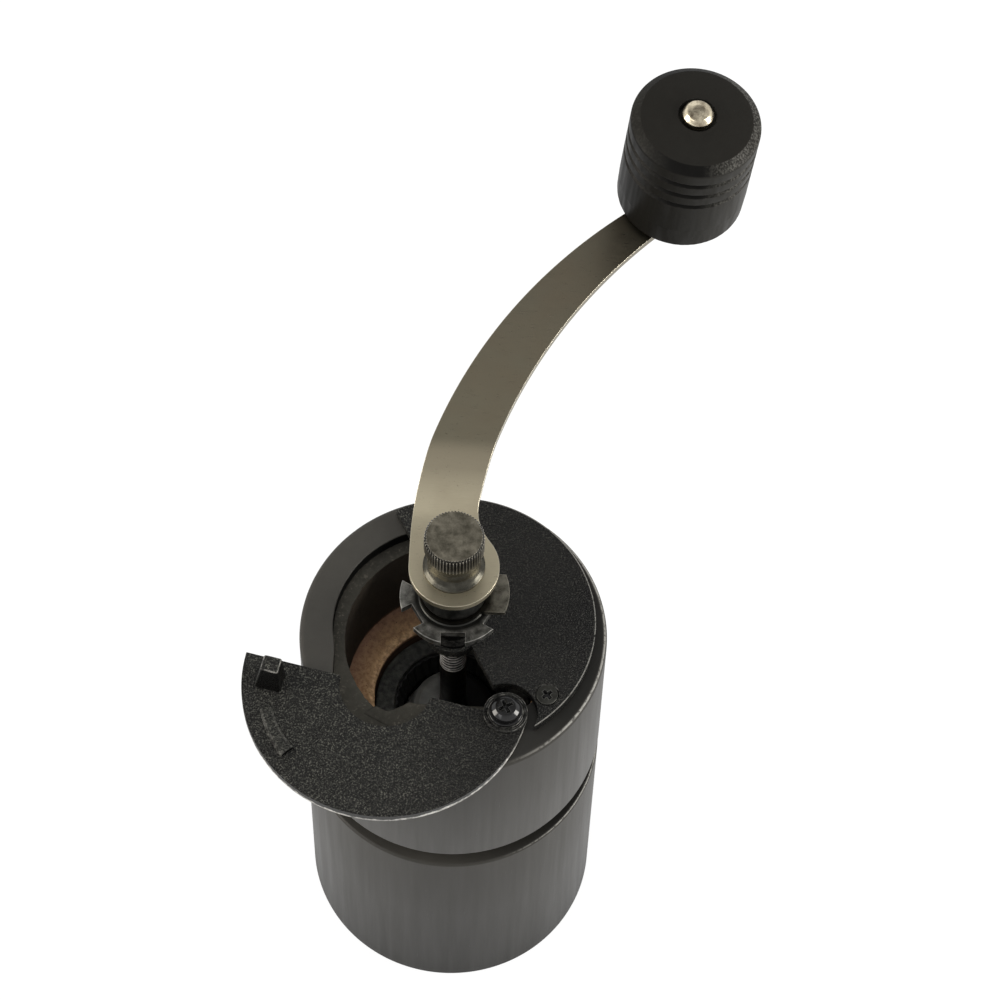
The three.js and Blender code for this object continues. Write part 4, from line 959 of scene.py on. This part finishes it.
def shaft_section(angle, size, height):
    """The shaft's radius: two flats high up, and a thread under the bush and at the top."""
    if height > LOCK_LOW - 0.8:
        size = min(size, FLATS / 2 / max(abs(math.sin(angle)), 1e-6))
    if threaded(height):
        phase = (height / PITCH - angle / (2 * math.pi)) % 1.0
        return size - THREAD_DEPTH * (1 - abs(2 * phase - 1))
    return size


def make_shaft():
    """The drive shaft with its thread and its flats."""
    end, step = 0.8, 0.125
    heights = np.arange(SHAFT_LOW + end, SHAFT_TOP - end, step)
    rows = {SHAFT_LOW + end, LOCK_LOW - 0.81, LOCK_LOW - 0.79, SHAFT_TOP - end}
    rows.update(h for h in heights if BUSH_LOW - THREAD_DROP - 1 < h < BUSH_LOW + 3 or h > NUT_LOW - 3)
    profile = [(0, SHAFT_LOW), (SHAFT_RADIUS - end, SHAFT_LOW)]
    profile += [(SHAFT_RADIUS, h) for h in sorted(rows)]
    profile += [(SHAFT_RADIUS - end, SHAFT_TOP), (0, SHAFT_TOP)]
    piece = turned("shaft_bar", profile, 72, shaft_section)
    dress(smooth(piece, 60), "shaft", "burnished_steel", "drive_shaft", SHAFT_STEEL)


def make_bush():
    """The upper bush, in the plate's eye: black, and darker still as painted shade."""
    outer, flange, top = SHAFT_BORE + 1.3, 6.4, high("upper_bush").z
    piece = turned("bush_upper", eased([
        (SHAFT_BORE, BUSH_LOW, 0.2), (outer, BUSH_LOW, 0.3), (outer, PLATE_TOP + 0.1),
        (flange, PLATE_TOP + 0.1, 0.3), (flange, PLATE_TOP + 1.3, 0.3), (outer, PLATE_TOP + 2.5, 0.6),
        (outer, top, 0.3), (SHAFT_BORE, top), (SHAFT_BORE, BUSH_LOW)]), SMALL)
    dress(smooth(piece), "mill", "burnished_steel", "upper_bush", BUSH_AND_SHADE)


def make_wheel():
    """The star wheel, with six notches and a low hub."""
    top = WHEEL_LOW + 2.2
    hub, count = top + 0.4, 6
    piece = turned("wheel_disc", eased([
        (SHAFT_BORE, WHEEL_LOW), (WHEEL_RADIUS, WHEEL_LOW, 0.1), (WHEEL_RADIUS, top, 0.1), (9.0, top),
        (8.6, hub, 0.2), (SHAFT_BORE, hub), (SHAFT_BORE, WHEEL_LOW)]), FINE)
    combine(piece, [
        box_object("notch", (WHEEL_RADIUS, 0, WHEEL_LOW + 1), (6.4, 6.2, 6), -89 + 360 / count * i)
        for i in range(count)], "DIFFERENCE")
    dress(polished(bevelled(piece, 0.4)), "adjuster", "burnished_steel", "star_wheel", WHEEL_STEEL)


def make_lock():
    """The lock plate: a flatted washer with a tab."""
    reach, width, middle, thick = 14.2, 10.8, (LOCK_LOW + LOCK_TOP) / 2, LOCK_TOP - LOCK_LOW
    piece = drum("lock_sheet", 8.8, LOCK_LOW, LOCK_TOP)
    tab = box_object("tab", (reach / 2, 0, middle), (reach, width, thick))
    combine(tab, [drum("trim", reach, LOCK_LOW - 2, LOCK_TOP)], "INTERSECT")
    combine(piece, [tab], "UNION")
    combine(piece, [flatted_hole(middle, 3)], "DIFFERENCE")
    dress(polished(bevelled(piece, 0.3)), "lock", "antique_nickel", "lock_plate", LOCK_STEEL)


def make_cone():
    """The seat cone between the lock plate and the crank."""
    bottom, top, size = low("seat_cone").z, high("seat_cone").z, 8.4
    piece = turned("cone_collar", eased([
        (SHAFT_BORE, bottom), (size, bottom, 0.2), (size, bottom + 0.8, 0.5), (size - 1.4, top, 0.3),
        (SHAFT_BORE, top), (SHAFT_BORE, bottom)]))
    dress(smooth(piece), "shaft", "burnished_steel", "seat_cone", HUB_SHADE_STEEL)


# The crank arm's two edges in plan, as (middle x, middle y, radius), and the point whose spokes cut both
INNER_ARC = (164.4, -17.8, 162.7)
OUTER_ARC = (140.1, -15.1, 154.2)
SPOKES = Vector((152.0, -16.5))


def arm_top(x, y):
    """Height of the arm's top face over a point of the plan."""
    return RING_TOP + eased_step(y, *RAMP) * (ARM_RISE - DROOP * (x - 2))


def on_arc(angle, arc):
    way = Vector((math.cos(angle), math.sin(angle)))
    offset = SPOKES - Vector(arc[:2])
    along = way.dot(offset)
    return SPOKES + way * (-along + math.sqrt(arc[2] ** 2 - offset.length_squared + along * along))


def spoke_angle(x, y):
    return math.atan2(y - SPOKES.y, x - SPOKES.x) % (2 * math.pi)


def arm_section(share):
    """The two edge points of the strip at a share of its length, eased into the ring at its start."""
    end = spoke_angle(KNOB_FOOT.x, KNOB_FOOT.y)
    outer_start = spoke_angle(-RING_RADIUS, 0)
    inner_start = spoke_angle(0.32 * RING_RADIUS, 0.61 * RING_RADIUS)
    outer = on_arc(outer_start + (end - outer_start) * share, OUTER_ARC)
    inner = on_arc(inner_start + (end - inner_start) * share, INNER_ARC)
    past = (outer.x + RING_RADIUS) / 0.6
    outer.x = -RING_RADIUS + 0.6 * (past if past > 20 else math.log1p(math.exp(past)))
    inner.x += 14 * max(0, 1 - inner.y / 18.5) ** 2
    return outer, inner


def arm_outline():
    """The whole plan outline of the arm: ring, strip and end eye, as one loop of points."""
    steps = 150
    outer, inner = zip(*(arm_section(i / steps) for i in range(steps + 1)))
    start = math.degrees(math.atan2(inner[0].y, inner[0].x))
    ring = [polar(RING_RADIUS, start - (start + 180) * i / 100) for i in range(1, 100)]
    foot = KNOB_FOOT.xy
    half = (outer[-1] - inner[-1]).length / 2
    start = math.degrees(math.atan2(*(inner[-1] - foot).yx))
    eye = [foot + polar(max(half, 6.0), start + 180 * i / 40) for i in range(1, 40)]
    return [*inner, *eye, *outer[::-1], *ring[::-1]]


def bend_to_arm(piece):
    """Bends a flat piece, made with its top at the ring's height, up the arm's ramp, and its
    shading with it."""
    mesh, step = piece.data, 0.01
    places = [vertex.co / MM for vertex in mesh.vertices]
    slopes = []
    for spot in places:
        here = arm_top(spot.x, spot.y)
        slopes.append((
            (arm_top(spot.x + step, spot.y) - here) / step, (arm_top(spot.x, spot.y + step) - here) / step))
    normals = []
    for loop, normal in zip(mesh.loops, mesh.corner_normals):
        n, (along_x, along_y) = normal.vector, slopes[loop.vertex_index]
        normals.append(Vector((n.x - along_x * n.z, n.y - along_y * n.z, n.z)).normalized())
    for vertex, spot in zip(mesh.vertices, places):
        vertex.co.z = (spot.z + arm_top(spot.x, spot.y) - RING_TOP) * MM
    mesh.normals_split_custom_set(normals)
    return piece


def sliced(piece, axis, start, end, step):
    """Cuts a mesh across an axis into narrow strips, so that it can be bent."""
    work = bmesh.new()
    work.from_mesh(piece.data)
    way = Vector([float(i == axis) for i in range(3)])
    for place in np.arange(start, end, step):
        bmesh.ops.bisect_plane(
            work, geom=work.verts[:] + work.edges[:] + work.faces[:], plane_co=way * place * MM, plane_no=way)
    work.to_mesh(piece.data)
    work.free()
    return piece


def make_crank():
    """The crank arm: cut from sheet, its edges rounded, then bent up its ramp."""
    piece = slab("arm_strip", arm_outline(), RING_TOP - ARM_THICKNESS, RING_TOP)
    hole = flatted_hole(RING_TOP - 1, 4)
    pin_hole = drum("pin_hole", 2.8, RING_TOP - 4, RING_TOP + 3, KNOB_FOOT.xy, 64)
    bevelled(combine(piece, [hole, pin_hole], "DIFFERENCE"), 0.5, 4, 50)
    for axis, start, end, step in (
            (1, RAMP[0], RAMP[1] + 1, 0.5), (1, RAMP[1] + 3, KNOB_FOOT.y, 4), (0, -8, KNOB_FOOT.x, 4)):
        sliced(piece, axis, start, end, step)
    dress(bend_to_arm(polished(piece, 30)), "crank", "antique_nickel", "crank_arm", ARM)


def knurl(angle, size, height):
    """The nut head's radius round its knurls."""
    if size < KNURL_ROOT:
        return size
    wave = (angle * KNURLS / (2 * math.pi)) % 1.0
    return size - (size - KNURL_ROOT) * 0.9 * (1 - abs(2 * wave - 1))


def make_nut():
    """The thumb nut: domed collar and knurled head."""
    head, top, flange = NUT_LOW + 9.3, NUT_TOP, 7.85
    collar = turned("collar", eased([
        (SHAFT_BORE, NUT_LOW), (flange, NUT_LOW, 0.15), (flange, NUT_LOW + 0.7, 0.3),
        (6.9, NUT_LOW + 1.3, 2), (6.2, NUT_LOW + 2.7, 3), (5.7, NUT_LOW + 5.0, 4), (5.5, head + 0.5),
        (SHAFT_BORE, head + 0.5), (SHAFT_BORE, NUT_LOW)]))
    rows = [(5.4, head), (6.7, head), (KNURL_ROOT + 0.02, head + 0.12), (NUT_RADIUS, head + 0.6)]
    rows += [(NUT_RADIUS, head + 0.6 + (top - head - 1.15) * i / 4) for i in range(1, 5)]
    rows += [(7.24, top - 0.2), (KNURL_ROOT - 0.02, top - 0.02), (6.9, top), (0, top)]
    cap = turned("cap", [(0, top - 2.4), (SHAFT_BORE, top - 2.4), (SHAFT_BORE, head), *rows], KNURLS * 8, knurl)
    piece = polished(join("nut_body", [collar, cap]), 32)
    dress(piece, "nut", "burnished_steel", "thumb_nut", COLLAR_STEEL, NUT_TOP_STEEL, KNURL_STEEL)
    paint(piece, 2, lambda c, n: c.z > head + 0.2)
    paint(piece, 1, lambda c, n: c.z > top - 0.1)


def on_knob_axis(piece):
    """Stands a piece, made about the Z axis with the arm's top at 0, on the arm under the knob."""
    lean = Vector((0, 0, 1)).rotation_difference(KNOB_AXIS).to_matrix().to_4x4()
    piece.data.transform(Matrix.Translation(KNOB_FOOT * MM) @ lean)
    return piece


def knob_skin(angle, size, height):
    """Small chips in the knob's grooves."""
    if size < 15.5 or height > 32:
        return size
    spot = Vector((9 * math.cos(angle), 9 * math.sin(angle), height * 1.4))
    return size + 0.05 * noise.noise(spot * 1.7)


def make_knob():
    """The turned knob, its washer and its pin with the domed head."""
    base, bore, size, tall, crown, well = 1.6, 2.8, 16.9, 35.4, 1.6, 4.8
    rim, flat = base + tall, size - 3.0

    def dome(reach):
        return rim + crown * (1 - (reach / flat) ** 2)

    top = dome(well)
    outline = [(bore, base), (15.9, base, 0.7), (16.7, base + 1.2, 1.0), (size, base + 8, 8)]
    for share in (0.556, 0.687, 0.818):
        z = base + tall * share
        outline += [(size, z - 0.85, 0.2), (size - 0.95, z, 0.1), (size, z + 0.85, 0.2)]
    outline += [(size, rim - 1.9, 1.4), (14.55, rim - 0.05, 0.7)]
    outline += [(reach, dome(reach), 6) for reach in (11.0, 8.5, 6.5)]
    outline += [(well + 0.2, top, 0.3), (well, top - 0.5, 0.3), (well, top - 1.4, 0.3), (bore, top - 1.4),
                (bore, base)]
    grip = smooth(turned("knob_grip", eased(outline, 8), FINE, knob_skin), 50)
    dress(on_knob_axis(grip), "knob", "black_wood", "knob", KNOB_WOOD)
    head, stem, button, foot = top - 1.1, 2.5, 4.1, 4.0
    pin = turned("knob_rivet", eased([
        (0, -3.3), (3.2, -3.3, 0.5), (foot, -2.5, 0.5), (foot, -2.1), (stem, -2.1), (stem, head),
        (button, head, 0.2), (button, head + 1.7, 0.8), (3.2, head + 3.1, 1.6), (1.4, head + 3.8, 2.5),
        (0, head + 3.9)]), SMALL)
    dress(on_knob_axis(smooth(pin, 40)), "crank", "antique_nickel", "knob_pin", NICKEL)
    low_face, high_face, washer_size = 0.3, 1.3, 7.5
    washer = turned("knob_spacer", eased([
        (bore, low_face), (washer_size, low_face, 0.2), (washer_size, high_face, 0.2),
        (bore, high_face, 0.1), (bore, low_face)]), SMALL)
    dress(on_knob_axis(smooth(washer)), "crank", "burnished_steel", "knob_washer", STEEL)


def make_housing():
    """The cast burr housing with its rough lip."""
    bottom, top = low("burr_housing").z, high("burr_housing").z
    bore, outer, flange, lip, step = 18.2, THROAT_RADIUS - CLEAR, POCKET_RADIUS - CLEAR, 15.5, bottom + 5.8

    def rough(angle, size, height):
        spot = Vector((6 * math.cos(angle), 6 * math.sin(angle), height))
        return size + 0.12 * noise.noise(spot * 1.6) if height > bottom + 8 and size < 20 else size

    piece = turned("housing_cast", eased([
        (bore, bottom), (flange, bottom, 0.6), (flange, step, 0.6), (outer, step, 0.6), (outer, top, 0.8),
        (lip, top, 0.6), (lip, top - 1.7, 0.3), (bore, top - 1.7, 0.3), (bore, bottom)]), ROUND, rough)
    dress(smooth(piece, 45), "mill", "cast_iron", "burr_housing", IRON)


def make_inner_burr():
    """The inner burr: a smooth cone over fine spiral teeth."""
    bottom, top, foot = low("inner_burr").z, high("inner_burr").z, radius("inner_burr") - 0.1
    waist, neck, teeth, edge, steps = bottom + 6.8, 12.1, 36, bottom + 1.4, 12

    def spiral(angle, size, height):
        if size < 11 or height > waist + 1.6:
            return size
        wave = (angle * teeth / (2 * math.pi) + (height - bottom) * 0.9) % 1.0
        return size - 0.6 * wave

    shares = [i / steps for i in range(steps + 1)]
    flank = [(foot + (neck - foot) * share, edge + (waist - edge) * share) for share in shares]
    profile = [(SHAFT_BORE, bottom), (foot, bottom), *flank, (neck - 0.1, waist + 1.5)]
    profile += eased([(neck - 0.2, waist + 1.7), (10.6, top - 1.2, 1.5), (9.0, top, 1.0), (SHAFT_BORE, top)])
    piece = turned("burr_cone", [*profile, (SHAFT_BORE, bottom)], teeth * 12, spiral)
    dress(smooth(piece, 30), "shaft", "burr_steel", "inner_burr", BURR)


CAD_LOOKS = {
    STEEL: ["thrust_washer"], OUTER_BURR: ["outer_burr"], IRON: ["bearing_bridge"], BRONZE: ["lower_bush"],
    SCREW: ["housing_screw_1", "housing_screw_2", "housing_screw_3"],
    SPRING: ["drive_pin", "shaft_spring", "spring_washer", "end_nut"],
}


def dress_frame():
    """Better materials for the CAD nodes that stay."""
    for material, names in CAD_LOOKS.items():
        for name in names:
            materials = frame["nodes"][name].data.materials
            materials.clear()
            materials.append(material)


# Stage


def make_floor():
    """A pale floor that shows white and keeps the object's shadow."""
    size = 3000
    piece = mesh_object("floor", [(x * size, y * size, 0) for x, y in CORNERS], [(0, 1, 2, 3)])
    s = Shader("floor_paint")
    s.tint = (0.9, 0.9, 0.895, 1)
    s.finish(0.9)
    glow = s.node("ShaderNodeEmission", {"Color": (1, 1, 1, 1), "Strength": 1.0})
    blend = s.node("ShaderNodeMixShader", {
        0: s.times(s.seen(), 0.92), 1: s.surface.outputs[0], 2: glow.outputs[0]})
    s.feed(s.tree.nodes["Material Output"].inputs["Surface"], blend.outputs[0])
    piece.data.materials.append(s.material)


def make_world():
    """A studio that mirrors white at the horizon and darker overhead, more so behind the object. Its
    light on dull surfaces comes mostly from straight above."""
    world = bpy.data.worlds.new("studio")
    world.use_nodes = True
    bpy.context.scene.world = world
    n = Nodes(world.node_tree)
    way = n.node("ShaderNodeTexCoord").outputs["Generated"]
    split = n.node("ShaderNodeSeparateXYZ", {0: way}).outputs
    overhead = n.span(split["Y"], -0.5, 0.45, 0.62, 0.34)
    mirrored = n.blend(n.span(split["Z"], 0.42, 0.8, 0, 1, True), 1.0, overhead)
    zenith = n.span(split["Z"], 0.75, 0.97, 0.45, 3.4, True)
    background = n.tree.nodes["Background"].inputs
    n.feed(background["Strength"], n.blend(n.seen(), zenith, mirrored))
    n.feed(background["Color"], (1, 1, 1, 1))


def add_lamp(name, place, aim, size, power, colour=(1, 1, 1)):
    """A soft lamp, placed and aimed in millimetres."""
    data = bpy.data.lights.new(name, "AREA")
    data.color = colour
    data.shape = "RECTANGLE"
    data.size, data.size_y = size[0] * MM, size[1] * MM
    data.energy = power
    lamp = new_object(name, data)
    lamp.location = Vector(place) * MM
    lamp.rotation_euler = (Vector(aim) - Vector(place)).to_track_quat("-Z", "Y").to_euler()


def make_lamps():
    add_lamp("key", (-560, -640, 760), (0, 0, 150), (420, 420), 1.4)
    add_lamp("left", (-900, -150, 500), (0, 0, 120), (500, 700), 10.5, (1, 0.94, 0.85))
    add_lamp("right", (950, -100, 450), (0, 0, 120), (400, 700), 12.5, (1, 0.97, 0.91))


def make_camera():
    """A camera at the photograph's place, pitch and roll."""
    data = bpy.data.cameras.new("camera")
    data.sensor_width = SENSOR
    data.lens = CAMERA_LENS
    data.clip_start, data.clip_end = 0.01, 20
    camera = new_object("camera", data)
    tilt = Matrix.Rotation(math.radians(90 - CAMERA_PITCH), 4, "X")
    roll = Matrix.Rotation(math.radians(CAMERA_ROLL), 4, "Z")
    camera.matrix_world = Matrix.Translation(Vector(CAMERA_PLACE) * MM) @ tilt @ roll
    bpy.context.scene.camera = camera


for make in (make_camera, make_world, make_lamps, make_floor, make_cup, make_hopper, make_plate, make_lid,
             make_screws, make_shaft, make_bush, make_wheel, make_lock, make_cone, make_crank, make_nut,
             make_knob, make_housing, make_inner_burr, dress_frame):
    make()
bpy.context.scene.view_settings.view_transform = "Standard"
